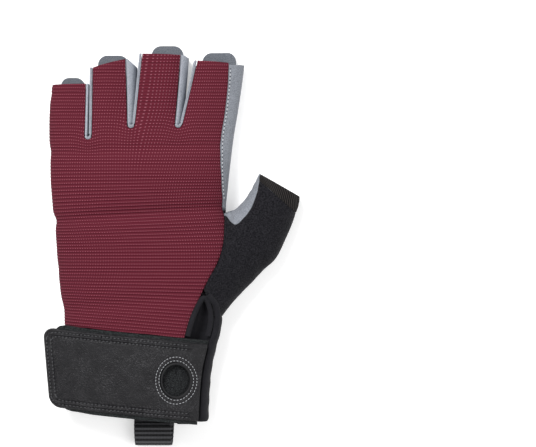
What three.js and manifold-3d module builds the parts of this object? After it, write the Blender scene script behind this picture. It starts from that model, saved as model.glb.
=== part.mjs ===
// A half-finger climbing glove for the left hand, lying palm down with its fingers along +Y and its thumb
// towards +X. Millimetres, +Z up. The hand's own frame has X = 0 on the wrist's middle line and Y = 0 at the
// strap's lower edge; the outer group moves it so that the origin is under the middle of the whole glove.
// "Skin" is the glove's outer surface: cloth panels lie inside it, and the cuff's bands lie across it.
import * as THREE from "three";
import { mergeGeometries, mergeVertices } from "three/addons/utils/BufferGeometryUtils.js";
import Module from "manifold-3d";

const wasm = await Module();
wasm.setup();

// Driving sizes of the worn form
const handLength = 200; // strap's lower edge to the middle finger's hem
const palmWidth = 96; // across the knuckles
const bodyHeight = 29; // thickness of the empty glove over the palm
const fingerCrown = 2.2; // how far a finger's back falls to its seams
const seamGap = 0.4; // clear space between two pieces that are sewn together

// Cloth and leather
const backCloth = 1.4;
const palmSuede = 2.4; // padded
const patchSuede = 1.1;
const thumbCloth = 1.5;
const gussetSuede = 1.3;
const gussetProud = 0.5; // how far a gusset's edge stands out of the back
const slotRadius = 2.1; // round bottom of each slot between two fingers
const palmSlot = 1.0; // the same slot, on the palm side

// Cuff
const bandElastic = 2.0;
const bandProud = 1.1; // share of the elastic that stands outside the skin
const strapLeather = 2.4;
const strapWidth = 43;
const strapReach = 48.5; // wrist's middle line to the middle of the strap's free end
const strapSlant = 8.3; // how much further its upper long edge reaches than its lower one
const strapTilt = 5.8; // degrees that the strap falls towards the thumb
const strapCorner = 6;
const strapMiddle = 25; // height of the strap's own middle line where it crosses the wrist's
const strapLift = 0.62; // share of the wrist's half width past which the strap leaves the wrist
const loopCloth = 1.4; // the hook-and-loop panel under the strap
const foldCloth = 2.8; // the padded fold that carries the strap
const foldProud = 1.6;
const ventCloth = 1.3;
const ventDepth = 5; // how far the vent's gusset sinks
const pipingRadius = 1.0;
const eyeletX = 21.6;
const eyeletY = 22.9;
const eyeletInner = 7;
const eyeletWall = 1.1;
const eyeletStretch = 1.2; // the hole's height as a share of its width
const eyeletProud = 0.6;

// Loops and tabs
const webbingWidth = 22;
const webbingThickness = 1.8;
const webbingMiddle = 9.5;
const webbingDrop = 21; // cuff's lower edge to the end of the pull loop
const webbingBend = 3.6; // radius of the loop's end, at the webbing's middle
const sideTape = 1.2;
const sideLoopAcross = -0.244; // middles of the tapes, as shares of palmWidth
const sideLoopWidth = 9.5;
const sideLoopDrop = 5;
const sideTabAcross = 0.286;
const sideTabWidth = 10.5;
const sideTabDrop = 6;
const sideTapeHold = 9; // length of both tapes inside the cuff
const tabThickness = 1.5;
const tabReach = 7; // palm hem to a finger tab's round end
const tabHold = 6; // length of a finger tab that is sewn inside
const tabCorner = 5.5;
const thumbHemWidth = 4.6;
const thumbHemCloth = 2.1;

// Outline of the glove seen from above and its height, from the wrist to the fingertips:
// along is a share of handLength, left and right of palmWidth, top of bodyHeight. square rounds the section.
const SECTIONS = [
  { along: 0.0, left: -0.33, right: 0.395, top: 0.98, square: 2.4 },
  { along: 0.07, left: -0.345, right: 0.4, top: 1.02, square: 2.4 },
  { along: 0.15, left: -0.372, right: 0.416, top: 1.04, square: 2.4 },
  { along: 0.25, left: -0.404, right: 0.466, top: 1.02, square: 2.4 },
  { along: 0.3, left: -0.415, right: 0.5, top: 1.0, square: 2.4 },
  { along: 0.36, left: -0.434, right: 0.546, top: 0.99, square: 2.4 },
  { along: 0.43, left: -0.448, right: 0.573, top: 1.0, square: 2.4 },
  { along: 0.5, left: -0.458, right: 0.563, top: 1.0, square: 2.4 },
  { along: 0.545, left: -0.466, right: 0.527, top: 1.0, square: 2.4 },
  { along: 0.575, left: -0.476, right: 0.511, top: 1.0, square: 2.4 },
  { along: 0.64, left: -0.481, right: 0.522, top: 1.0, square: 2.4 },
  { along: 0.72, left: -0.49, right: 0.54, top: 0.95, square: 2.6 },
  { along: 0.78, left: -0.497, right: 0.556, top: 0.84, square: 2.8 },
  { along: 0.85, left: -0.495, right: 0.58, top: 0.73, square: 3.0 },
  { along: 0.92, left: -0.478, right: 0.602, top: 0.68, square: 3.0 },
  { along: 1.01, left: -0.46, right: 0.625, top: 0.65, square: 3.0 },
];

// Fingers, across from the smallest: tip edges of the back (left, right) and of the palm as shares of
// palmWidth, and where each hem ends as a share of handLength.
const FINGERS = [
  { name: "little", left: -0.474, right: -0.287, hemLeft: 0.918, hemRight: 0.922, palmRight: -0.276, palmHem: 0.91, tabLeft: -0.448, tabRight: -0.296 },
  { name: "ring", left: -0.246, right: -0.062, hemLeft: 0.966, hemRight: 0.989, palmLeft: -0.26, palmRight: -0.001, palmHem: 0.966, tabLeft: -0.222, tabRight: -0.047 },
  { name: "middle", left: 0.036, right: 0.252, hemLeft: 1.004, hemRight: 1.0, palmLeft: 0.022, palmRight: 0.294, palmHem: 0.992, tabLeft: 0.085, tabRight: 0.266 },
  { name: "index", left: 0.35, right: 0.527, hemLeft: 0.985, hemRight: 0.979, palmLeft: 0.326, palmHem: 0.973, tabLeft: 0.375, tabRight: 0.578 },
];

// Slots between the fingers: the bottom of each, on the back and on the palm.
const SLOTS = [
  { name: "little_ring", x: -0.271, palmX: -0.266, along: 0.768 },
  { name: "ring_middle", x: -0.029, palmX: 0.006, along: 0.799 },
  { name: "middle_index", x: 0.239, palmX: 0.266, along: 0.8 },
];

// Thumb-side edge of the back panel, from the wrist past the thumb to the index finger's hem.
const BACK_EDGE = [
  { along: 0.2, x: 0.262 },
  { along: 0.285, x: 0.309 },
  { along: 0.348, x: 0.372 },
  { along: 0.391, x: 0.4156 },
  { along: 0.4335, x: 0.4646 },
  { along: 0.48, x: 0.494 },
  { along: 0.528, x: 0.504 },
  { along: 0.57, x: 0.503 },
  { along: 0.614, x: 0.493 },
  { along: 0.6535, x: 0.4854 },
  { along: 0.716, x: 0.481 },
  { along: 0.779, x: 0.4854 },
  { along: 0.8415, x: 0.505 },
  { along: 0.92, x: 0.522 },
  { along: 1.0, x: 0.528 },
];

// Thumb, ring by ring from the hand to its hem: where the ring's inner and outer ends lie seen from above
// (x by palmWidth, y by handLength) and its top by bodyHeight. greyTop and greyUnder are the shares of the
// ring's width at which the suede front gives way to the stretch back, above and below.
const THUMB = [
  { reach: 0, innerX: 0.52, innerY: 0.582, outerX: 0.5, outerY: 0.287, top: 1.0, greyTop: 0.003, greyUnder: 0.8 },
  { reach: 0.16, innerX: 0.553, innerY: 0.577, outerX: 0.59, outerY: 0.345, top: 0.83, greyTop: 0.17, greyUnder: 0.78 },
  { reach: 0.36, innerX: 0.59, innerY: 0.591, outerX: 0.7, outerY: 0.397, top: 0.78, greyTop: 0.19, greyUnder: 0.76 },
  { reach: 0.54, innerX: 0.625, innerY: 0.61, outerX: 0.794, outerY: 0.444, top: 0.74, greyTop: 0.17, greyUnder: 0.75 },
  { reach: 0.7, innerX: 0.655, innerY: 0.636, outerX: 0.852, outerY: 0.499, top: 0.71, greyTop: 0.14, greyUnder: 0.75 },
  { reach: 0.86, innerX: 0.68, innerY: 0.658, outerX: 0.899, outerY: 0.554, top: 0.68, greyTop: 0.08, greyUnder: 0.76 },
  { reach: 1.0, innerX: 0.701, innerY: 0.677, outerX: 0.93, outerY: 0.614, top: 0.66, greyTop: 0.03, greyUnder: 0.78 },
];

// Folds and rolls across the back: where each meets the little finger's side and the thumb's side, by
// handLength, its depth by bodyHeight (a roll is negative) and its half-width by handLength.
const FOLDS = [
  { name: "flex crease", left: 0.548, right: 0.585, depth: 0.075, width: 0.017 },
  { name: "knuckle roll", left: 0.655, right: 0.665, depth: -0.04, width: 0.05 },
  { name: "finger crease", left: 0.735, right: 0.752, depth: 0.035, width: 0.016 },
  { name: "wrist tuck", left: 0.3, right: 0.36, depth: 0.03, width: 0.022 },
];

// Inner edge of the strap's fold, from its lower end to the vent's point.
const FOLD_EDGE = [
  { along: 0.0, x: 0.36 },
  { along: 0.073, x: 0.366 },
  { along: 0.144, x: 0.381 },
  { along: 0.215, x: 0.414 },
  { along: 0.262, x: 0.438 },
  { along: 0.308, x: 0.438 },
  { along: 0.348, x: 0.401 },
  { along: 0.36, x: 0.385 },
];

// Reinforcing patch over the web of the thumb: outline on the palm, in order round it.
const WEB_PATCH = [
  { x: 0.17, along: 0.595 },
  { x: 0.125, along: 0.65 },
  { x: 0.17, along: 0.695 },
  { x: 0.42, along: 0.785 },
  { x: 0.45, along: 0.77 },
  { x: 0.45, along: 0.66 },
  { x: 0.42, along: 0.61 },
  { x: 0.385, along: 0.597 },
  { x: 0.34, along: 0.6 },
];

// Where the wrist's pieces divide, as angles round the section (0 is the thumb's side, 90 the top)
const littleSeam = THREE.MathUtils.degToRad(196);
const foldUnder = THREE.MathUtils.degToRad(-28);
const wristLift = webbingThickness + seamGap + bandProud; // the cuff lies on its webbing
const seamLevel = 0.4; // the section's widest level, as a share of its height
const underSquare = 3.5;
const flattening = 1.2; // how far the underside is pressed flat

const ventAlong = 0.348; // the vent's point
const ventLowAlong = 0.2;
const ventLap = 0.8; // how far its cloth reaches under both sides
const thumbInnerAlong = 0.572;
const thumbLength = 46; // along the thumb, from the hand's side to its mouth
const strapCurl = 0.012; // how fast the free end bends down, a millimetre
const wristEdgeLeft = 0.2635; // lower edge of the back panel at both sides
const wristEdgeRight = 0.229;
const palmCorner = 0.24; // where the palm's thumb-side edge meets the cuff, and where it runs beside the thumb
const palmThumbEdge = 0.41;
const palmTurnAlong = 0.4;
const collarAlong = 0.287; // upper edge of the cuff on the thumb's side
const bandTopAlong = 0.278;
const bandLowLeft = 0.063;
const bandLowRight = 0.012;
const crotchAlong = 0.582; // where the thumb leaves the index finger's side

const nudge = 1e-3; // step by which a surface's normal is measured
const finest = 0.03; // smaller facets are merged
const mix = THREE.MathUtils.lerp;
const smooth = (x, low, high) => THREE.MathUtils.smoothstep(x, low, high);
const power = (x, n) => Math.sign(x) * Math.abs(x) ** n;

// A table's column at a share along it, eased through the rows.
function read(table, column, at, key = "along") {
  let i = 0;
  while (i < table.length - 2 && at > table[i + 1][key]) i += 1;
  const slope = (k) => {
    const a = table[Math.max(k - 1, 0)];
    const b = table[Math.min(k + 1, table.length - 1)];
    return (b[column] - a[column]) / (b[key] - a[key]);
  };
  const span = table[i + 1][key] - table[i][key];
  const t = THREE.MathUtils.clamp((at - table[i][key]) / span, 0, 1);
  const [a, b] = [table[i][column], table[i + 1][column]];
  const [ma, mb] = [slope(i) * span, slope(i + 1) * span];
  return a + t * (ma + t * (3 * (b - a) - 2 * ma - mb + t * (2 * (a - b) + ma + mb)));
}

function section(y) {
  const at = y / handLength;
  const left = read(SECTIONS, "left", at) * palmWidth;
  const right = read(SECTIONS, "right", at) * palmWidth;
  const floor = wristLift * (1 - smooth(at, 0.27, 0.35));
  const top = Math.max(read(SECTIONS, "top", at) * bodyHeight, floor + bodyHeight / 2);
  return {
    centre: (left + right) / 2,
    half: (right - left) / 2,
    top,
    floor,
    seam: mix(floor, top, seamLevel),
    square: read(SECTIONS, "square", at),
  };
}

// A point of the skin, at an angle round the section.
function skin(angle, y) {
  const s = section(y);
  const [c, up] = [Math.cos(angle), Math.sin(angle)];
  if (up >= 0) {
    const n = 2 / s.square;
    return new THREE.Vector3(s.centre + s.half * power(c, n), y, s.seam + (s.top - s.seam) * up ** n);
  }
  const n = 2 / underSquare;
  const z = s.seam - (s.seam - s.floor + flattening) * (-up) ** n;
  return new THREE.Vector3(s.centre + s.half * power(c, n), y, Math.max(z, s.floor));
}

// The angle at which the skin's upper half has a given x.
function topAngle(x, y) {
  const s = section(y);
  const across = THREE.MathUtils.clamp((x - s.centre) / s.half, -0.995, 0.995);
  return Math.acos(power(across, s.square / 2));
}

function underAngle(x, y) {
  const s = section(y);
  const across = THREE.MathUtils.clamp((x - s.centre) / s.half, -0.995, 0.995);
  return 2 * Math.PI - Math.acos(power(across, underSquare / 2));
}

const backEdgeAngle = (y) => topAngle(read(BACK_EDGE, "x", y / handLength) * palmWidth, y);

// The palm's thumb-side edge: under the hand beside the thumb, and up to the back panel above it.
function palmEdgeAngle(y) {
  const at = y / handLength;
  const gap = seamGap / section(y).half;
  const above = backEdgeAngle(y) - gap * 2.5;
  const x = mix(palmCorner, palmThumbEdge, smooth(at, bandTopAlong, palmTurnAlong)) * palmWidth;
  return mix(underAngle(x, y) - 2 * Math.PI, above, smooth(at, crotchAlong - 0.035, crotchAlong + 0.004));
}

function foldDepth(point) {
  const s = section(point.y);
  const across = (point.x - s.centre) / s.half / 2 + 0.5;
  return FOLDS.reduce((sum, fold) => {
    const off = (point.y / handLength - mix(fold.left, fold.right, across)) / fold.width;
    return sum + fold.depth * bodyHeight * Math.exp(-off * off);
  }, 0);
}

// The back's skin with its folds: each fold moves the cloth towards the section's middle.
function backSkin(angle, y) {
  const point = skin(angle, y);
  const s = section(y);
  const centre = new THREE.Vector3(s.centre, y, s.seam);
  const radius = s.top - s.seam;
  const share = 1 - smooth(angle, Math.PI - 0.3, littleSeam);
  point.z -= foldDepth(point) * Math.max(0, (point.z - centre.z) / radius) * share;
  point.x += foldDepth(point) * 0.5 * (1 - Math.abs(Math.sin(angle))) * Math.sign(centre.x - point.x);
  return point;
}

// A grid of points on a surface, with the surface's own normals, so that neighbouring sheets agree at a seam.
// place gives the surface's two coordinates, and any more that it needs, for a share across and a share along.
// Seen from outside, the surface's second coordinate turns clockwise of its first.
function patch(surface, place, across, along) {
  const [points, normals, faces] = [[], [], []];
  for (let j = 0; j <= along; j += 1) {
    for (let i = 0; i <= across; i += 1) {
      const [a, b, ...rest] = place(i / across, j / along);
      const byA = surface(a + nudge, b, ...rest).sub(surface(a - nudge, b, ...rest));
      const byB = surface(a, b + nudge, ...rest).sub(surface(a, b - nudge, ...rest));
      points.push(...surface(a, b, ...rest));
      normals.push(...byB.cross(byA).normalize());
      if (i === across || j === along) continue;
      const k = j * (across + 1) + i;
      faces.push(k, k + 1, k + across + 2, k, k + across + 2, k + across + 1);
    }
  }
  const geometry = new THREE.BufferGeometry();
  geometry.setAttribute("position", new THREE.Float32BufferAttribute(points, 3));
  geometry.setAttribute("normal", new THREE.Float32BufferAttribute(normals, 3));
  geometry.setIndex(faces);
  return geometry;
}

// Joins patches along the edges that they share.
function weld(patches) {
  const joined = mergeGeometries(patches);
  const normals = joined.attributes.normal.clone();
  const key = (i) => [0, 1, 2].map((axis) => Math.round(joined.attributes.position.getComponent(i, axis) * 500)).join();
  const sums = new Map();
  for (let i = 0; i < normals.count; i += 1) {
    const normal = new THREE.Vector3().fromBufferAttribute(normals, i);
    sums.set(key(i), (sums.get(key(i)) ?? new THREE.Vector3()).add(normal));
  }
  joined.deleteAttribute("normal");
  const surface = mergeVertices(joined, 2e-3);
  const summed = [];
  for (let i = 0; i < surface.attributes.position.count; i += 1) {
    const point = [0, 1, 2].map((axis) => Math.round(surface.attributes.position.getComponent(i, axis) * 500)).join();
    summed.push(...sums.get(point).clone().normalize());
  }
  surface.setAttribute("normal", new THREE.Float32BufferAttribute(summed, 3));
  return surface;
}

// Turns a surface into a closed solid that reaches outward and inward of it along its normals.
function thicken(patches, outward, inward) {
  const surface = weld(patches);
  const [p, n] = [surface.attributes.position, surface.attributes.normal];
  const count = p.count;
  const vertices = new Float32Array(count * 6);
  for (let i = 0; i < count; i += 1) {
    for (const axis of [0, 1, 2]) {
      vertices[i * 3 + axis] = p.getComponent(i, axis) + outward * n.getComponent(i, axis);
      vertices[(i + count) * 3 + axis] = p.getComponent(i, axis) - inward * n.getComponent(i, axis);
    }
  }
  const vector = (attribute, i) => new THREE.Vector3().fromBufferAttribute(attribute, i);
  const index = surface.index.array;
  const triangles = [];
  let agree = 0;
  for (let i = 0; i < index.length; i += 3) {
    const [a, b, c] = index.slice(i, i + 3);
    if (a === b || b === c || a === c) continue;
    triangles.push([a, b, c]);
    const face = vector(p, b).sub(vector(p, a)).cross(vector(p, c).sub(vector(p, a)));
    agree += face.dot(vector(n, a));
  }
  const faces = [];
  const edges = new Map();
  for (const triangle of triangles) {
    const [a, b, c] = agree > 0 ? triangle : triangle.reverse();
    faces.push(a, b, c, c + count, b + count, a + count);
    for (const [from, to] of [[a, b], [b, c], [c, a]]) edges.set(`${from},${to}`, [from, to]);
  }
  for (const [from, to] of edges.values()) {
    if (edges.has(`${to},${from}`)) continue;
    faces.push(to, from, from + count, to, from + count, to + count);
  }
  return new wasm.Manifold(
    new wasm.Mesh({ numProp: 3, vertProperties: vertices, triVerts: new Uint32Array(faces) }),
  );
}

function solidOf(geometry) {
  const bare = geometry.index ? geometry.toNonIndexed() : geometry.clone();
  bare.deleteAttribute("uv").deleteAttribute("normal");
  const merged = mergeVertices(bare, 1e-4);
  return new wasm.Manifold(
    new wasm.Mesh({
      numProp: 3,
      vertProperties: merged.attributes.position.array,
      triVerts: new Uint32Array(merged.index.array),
    }),
  );
}

function geometryOf(solid) {
  const mesh = solid.simplify(finest).getMesh();
  const geometry = new THREE.BufferGeometry();
  geometry.setAttribute("position", new THREE.BufferAttribute(mesh.vertProperties.slice(), 3));
  geometry.setIndex(new THREE.BufferAttribute(mesh.triVerts.slice(), 1));
  geometry.computeVertexNormals();
  return geometry;
}

const material = (color, roughness) => new THREE.MeshStandardMaterial({ color, roughness, metalness: 0 });
const maroonCloth = material(0x6b2637, 0.9);
const greySuede = material(0x9a9fa6, 0.95);
const blackStretch = material(0x1d1c1f, 0.95);
const blackElastic = material(0x232124, 0.85);
const blackLeather = material(0x1a191b, 0.45);
const blackWebbing = material(0x222224, 0.8);

const glove = new THREE.Group();

function add(name, solid, look) {
  const mesh = new THREE.Mesh(solid.isBufferGeometry ? solid : geometryOf(solid), look);
  mesh.name = name;
  glove.add(mesh);
  return mesh;
}

// The five lines that bound the four finger columns. Below its slot a line is one edge shared by two
// columns; above it the left column ends on the slot's left side and the right column starts on its right.
const outerCrotchAlong = 0.785;
const seamAngle = (y) => (seamGap * 2.5) / section(y).half;
const bodyRows = [0, 0.11, 0.22, 0.33, 0.44, 0.53, 0.58, 0.625, 0.68, 0.76, 0.84, 0.9, 0.95, 1];
const fingerRows = [0.02, 0.07, 0.2, 0.45, 0.72, 1];
const columnsAcross = 4;

// How wide a slot has opened at a height above its bottom, for a round bottom of that radius.
const slotOpening = (height, radius) =>
  height >= radius ? radius : Math.sqrt(Math.max(0, radius * radius - (radius - height) ** 2));

// How far across a finger's cloth reaches beside a slot: round the slot's bottom, then straight to the tip.
function slotEdge(side, f, edge, y) {
  const slot = SLOTS[f - 1 + edge];
  const rise = y - slot.along * handLength;
  const open = slotOpening(rise, side.slotRadius);
  const length = side.hem(FINGERS[f], edge) * handLength - slot.along * handLength;
  const root = side.slotX(slot) * palmWidth + (edge ? -open : open);
  return mix(root, side.tipX(FINGERS[f], edge) * palmWidth, (rise / length) * (open / side.slotRadius));
}

// The surface of one side of the hand in four finger columns: side tells the back from the palm.
function columns(side) {
  return FINGERS.map((finger, f) => {
    const line = (edge, step) => {
      const slot = SLOTS[f - 1 + edge];
      const crotchY = (slot ? slot.along : outerCrotchAlong) * handLength;
      const rows = bodyRows.length - 1;
      const y = step <= rows
        ? mix(side.start(f + edge), crotchY, bodyRows[step])
        : mix(crotchY, side.hem(finger, edge) * handLength, fingerRows[step - rows - 1]);
      return { y, angle: slot ? side.angle(slotEdge(side, f, edge, y), y) : side.outer(edge, y) };
    };
    const last = bodyRows.length + fingerRows.length - 1;
    const place = (t, v) => {
      const step = Math.round(v * last);
      const [left, right] = [line(0, step), line(1, step)];
      return [mix(left.angle, right.angle, t), mix(left.y, right.y, t), t, f];
    };
    return patch(side.surface, place, columnsAcross * (f === side.widest ? 2 : 1), last);
  });
}

const crotchY = (slot) => slot.along * handLength;
const crownFade = (y, slot) => smooth(y, crotchY(slot) - 6, crotchY(slot) + 12);

// The back's surface, with each finger rounded off towards its slots.
function backSurface(angle, y, t, f) {
  const point = backSkin(angle, y);
  const left = SLOTS[f - 1] ? Math.max(0, 1 - 2 * t) ** 2 * crownFade(y, SLOTS[f - 1]) : 0;
  const right = SLOTS[f] ? Math.max(0, 2 * t - 1) ** 2 * crownFade(y, SLOTS[f]) : 0;
  point.z -= fingerCrown * (left + right);
  return point;
}

// Lower edge of the back panel, falling towards the thumb's side
const wristEdge = (x) =>
  mix(wristEdgeLeft, wristEdgeRight, (x / palmWidth - SECTIONS[3].left) / (BACK_EDGE[0].x - SECTIONS[3].left)) * handLength;

const backSide = {
  widest: 0,
  start: (line) => wristEdge([SECTIONS[3].left, ...SLOTS.map((slot) => slot.x), BACK_EDGE[0].x][line] * palmWidth),
  outer: (edge, y) => (edge ? backEdgeAngle(y) : littleSeam),
  hem: (finger, edge) => (edge ? finger.hemRight : finger.hemLeft),
  tipX: (finger, edge) => (edge ? finger.right : finger.left),
  slotX: (slot) => slot.x,
  slotRadius,
  angle: topAngle,
  surface: backSurface,
};

const palmSide = {
  widest: FINGERS.length - 1,
  start: () => bandTopAlong * handLength + seamGap,
  outer: (edge, y) => (edge ? palmEdgeAngle(y) + 2 * Math.PI : littleSeam + 2 * seamAngle(y)),
  hem: (finger) => finger.palmHem,
  tipX: (finger, edge) => (edge ? finger.palmRight : finger.palmLeft),
  slotX: (slot) => slot.palmX,
  slotRadius: palmSlot / 2,
  angle: underAngle,
  surface: skin,
};

// Back of the hand, from the cuff to the four hems
add("back_panel", thicken(columns(backSide), 0, backCloth), maroonCloth);

// Palm, with a recess for the patch over the web of the thumb
const patchOutline = new THREE.CatmullRomCurve3(
  WEB_PATCH.map((row) => new THREE.Vector3(row.x * palmWidth, row.along * handLength, 0)),
  true,
).getPoints(24);
const patchShape = new wasm.CrossSection([patchOutline.slice(0, -1).map((p) => [p.x, p.y])], "NonZero");
const column = (shape) => shape.extrude(bodyHeight * 0.3).translate([0, 0, -1]);
const palmCloth = (outward, inward) => thicken(columns(palmSide), outward, inward);
const recess = palmCloth(1, patchSuede + seamGap).intersect(column(patchShape.offset(seamGap, "Round")));
add("palm_panel", palmCloth(0, palmSuede).subtract(recess), greySuede);
add("web_patch", palmCloth(0, patchSuede).intersect(column(patchShape)), greySuede);

// Gussets: one suede wall down one finger, round the slot's bottom and up the next finger
const arcShare = 0.3;

function gussetLine(side, i, inset, u) {
  const slot = SLOTS[i];
  const radius = side.slotRadius - inset;
  const centreY = crotchY(slot) + side.slotRadius;
  const arc = (u - 0.5) / arcShare;
  if (Math.abs(arc) <= 0.5) {
    const turn = -Math.PI / 2 + arc * Math.PI;
    return [side.slotX(slot) * palmWidth + radius * Math.cos(turn), centreY + radius * Math.sin(turn)];
  }
  const [f, edge, way] = arc < 0 ? [i, 1, 1] : [i + 1, 0, -1];
  const rise = (Math.abs(u - 0.5) - arcShare / 2) / (0.5 - arcShare / 2);
  const y = mix(centreY, side.hem(FINGERS[f], edge) * handLength, rise);
  return [slotEdge(side, f, edge, y) + way * inset, y];
}

SLOTS.forEach((slot, i) => {
  const wall = (u, v) => {
    const [topX, topY] = gussetLine(backSide, i, seamGap + gussetSuede / 2, u);
    const [lowX, lowY] = gussetLine(palmSide, i, -gussetSuede / 2, u);
    const high = backSkin(topAngle(topX, topY), topY).z - fingerCrown * crownFade(topY, slot) + gussetProud;
    const low = skin(underAngle(lowX, lowY), lowY).z + palmSuede + seamGap;
    return new THREE.Vector3(mix(lowX, topX, v), mix(lowY, topY, v), mix(low, high, v));
  };
  const name = `gusset_${slot.name}`;
  add(name, thicken([patch(wall, (u, v) => [u, v], 20, 3)], gussetSuede / 2, gussetSuede / 2), greySuede);
});

// Pull tabs, one in each finger, sewn to the palm's inner face
for (const finger of FINGERS) {
  const [left, right] = [finger.tabLeft * palmWidth, finger.tabRight * palmWidth];
  const [low, high] = [finger.palmHem * handLength - tabHold, finger.palmHem * handLength + tabReach];
  const shape = new THREE.Shape();
  shape.moveTo(left, low);
  shape.lineTo(right, low);
  shape.lineTo(right, high - tabCorner);
  shape.quadraticCurveTo(right, high, right - tabCorner, high);
  shape.lineTo(left + tabCorner, high);
  shape.quadraticCurveTo(left, high, left, high - tabCorner);
  const outline = new wasm.CrossSection([shape.getPoints(5).map((p) => [p.x, p.y])], "NonZero");
  const place = (u, v) => {
    const y = mix(low - 1, high + 1, v);
    return [underAngle(mix(left - 1, right + 1, u), y), y];
  };
  const inside = palmSuede + seamGap;
  const sheet = thicken([patch(skin, place, 8, 4)], -inside, inside + tabThickness);
  add(`tab_${finger.name}`, sheet.intersect(column(outline)), greySuede);
}

// Thumb: round the opening in the hand first, and then ring by ring to the hem. u runs once round, from
// the thumb's inner end over its top to the outer end and back below.
const topShare = 0.36;

function thumbOpening(round) {
  const u = round - Math.floor(round);
  const inner = thumbInnerAlong * handLength;
  const outer = collarAlong * handLength + seamGap;
  const topX = (y) =>
    Math.max(read(BACK_EDGE, "x", y / handLength), read(FOLD_EDGE, "x", Math.min(y / handLength, FOLD_EDGE.at(-1).along)));
  const above = (y) => topAngle(topX(y) * palmWidth, y) - seamAngle(y);
  const below = (y) => palmEdgeAngle(y) + 2 * seamAngle(y);
  if (u < topShare) {
    const y = mix(inner, outer, u / topShare);
    return skin(above(y), y);
  }
  if (u > 1 - topShare) {
    const y = mix(inner, outer, (1 - u) / topShare);
    return skin(below(y), y);
  }
  return skin(mix(above(outer), below(outer), (u - topShare) / (1 - 2 * topShare)), outer);
}

const thumbSquare = 2.3;
const hemProud = thumbHemCloth - thumbCloth; // the hem, and not the thumb, meets the floor

function thumbRing(u, v) {
  const value = (column) => read(THUMB, column, v, "reach");
  const [turn, top] = [u * 2 * Math.PI, value("top") * bodyHeight];
  const level = top * seamLevel;
  const n = Math.sin(turn) >= 0 ? 2 / thumbSquare : 2 / underSquare;
  const share = 0.5 - 0.5 * power(Math.cos(turn), n);
  const up = power(Math.sin(turn), n);
  return new THREE.Vector3(
    mix(value("innerX"), value("outerX"), share) * palmWidth,
    mix(value("innerY"), value("outerY"), share) * handLength,
    up >= 0 ? level + (top - level) * up : Math.max(hemProud, level + (level + flattening) * up),
  );
}

const rootReach = THUMB[1].reach;

function thumbSkin(v, u) {
  const ring = thumbRing(u, Math.max(v, rootReach));
  return v < rootReach ? thumbOpening(u).lerp(ring, v / rootReach) : ring;
}

// Where the suede gives way to the stretch cloth, as a place round the ring.
function greyEnd(v, above) {
  const rise = above ? Math.min(1, v / THUMB[1].reach) ** 2 : 1;
  const share = read(THUMB, above ? "greyTop" : "greyUnder", v, "reach") * rise + 0.002;
  const n = above ? thumbSquare : underSquare;
  const turn = Math.acos(power(1 - 2 * share, n / 2)) / (2 * Math.PI);
  return above ? turn : 1 - turn;
}

const thumbGap = 0.009; // half the seam's clear space, as a share of the way round
const hemShare = thumbHemWidth / thumbLength;
const greyPart = (u, v) => [v, mix(greyEnd(v, false) + thumbGap, 1 + greyEnd(v, true) - thumbGap, u)];
const blackPart = (u, v) => [v, mix(greyEnd(v, true) + thumbGap, greyEnd(v, false) - thumbGap, u)];
const stretch = 1 - hemShare - seamGap / thumbLength;

add("thumb_front", thicken([patch(thumbSkin, greyPart, 16, 12)], 0, thumbCloth), greySuede);
add("thumb_back", thicken([patch(thumbSkin, (u, v) => blackPart(u, v * stretch), 24, 12)], 0, thumbCloth), blackStretch);
const hem = patch(thumbSkin, (u, v) => blackPart(u, mix(1 - hemShare, 1, v)), 24, 2);
add("thumb_hem", thicken([hem], hemProud, thumbCloth), blackStretch);

// Cuff, palm side: an elastic band from the little finger's side to the fold
const bandPoint = (u, v) => {
  const low = mix(bandLowRight, bandLowLeft, u);
  const y = mix(low, bandTopAlong, v) * handLength - (v === 1 ? seamGap : 0);
  return [mix(foldUnder - seamAngle(y), littleSeam + 2 * seamAngle(y) - 2 * Math.PI, u), y];
};
add("cuff_band", thicken([patch(skin, bandPoint, 20, 4)], bandProud, bandElastic - bandProud), blackElastic);

// Cuff, back: the hook-and-loop panel under the strap
const foldAngle = (y) => topAngle(read(FOLD_EDGE, "x", y / handLength) * palmWidth, y);
const loopPoint = (u, v) => {
  const high = wristEdge(mix(SECTIONS[3].left, FOLD_EDGE[3].x, u) * palmWidth) - seamGap * 2.5;
  const y = mix(mix(bandLowLeft, bandLowRight, u) * handLength, high, v);
  return [mix(littleSeam, foldAngle(y) + seamAngle(y), u), y];
};
add("loop_panel", thicken([patch(skin, loopPoint, 18, 4)], 0, loopCloth), blackElastic);

// The padded fold at the thumb's side, which the strap grows out of
const foldPoint = (u, v) => {
  const y = mix(0, collarAlong * handLength, v);
  return [mix(foldAngle(y), foldUnder, u), y];
};
add("strap_fold", thicken([patch(skin, foldPoint, 8, 8)], foldProud, foldCloth - foldProud), blackStretch);

// Vent: thin cloth sunk between the back's edge and the fold, and its bound edge
const ventEdges = (y) => [
  read(BACK_EDGE, "x", y / handLength) * palmWidth,
  read(FOLD_EDGE, "x", y / handLength) * palmWidth,
];
const ventSkin = (y, u) => {
  const v = (y / handLength - ventLowAlong) / (ventAlong - ventLowAlong);
  const [left, right] = ventEdges(y);
  const point = skin(topAngle(mix(left - ventLap, right + ventLap, u), y), y);
  const clear = Math.max(backCloth, foldCloth - foldProud) + seamGap;
  point.z -= clear * 1.35 + ventDepth * Math.sin(Math.PI * u) * Math.sqrt(Math.max(0, 1 - v));
  return point;
};
const ventPlace = (u, v) => [mix(ventLowAlong, ventAlong, v) * handLength, u];
add("vent_gusset", thicken([patch(ventSkin, ventPlace, 8, 6)], 0, ventCloth), blackStretch);

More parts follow.
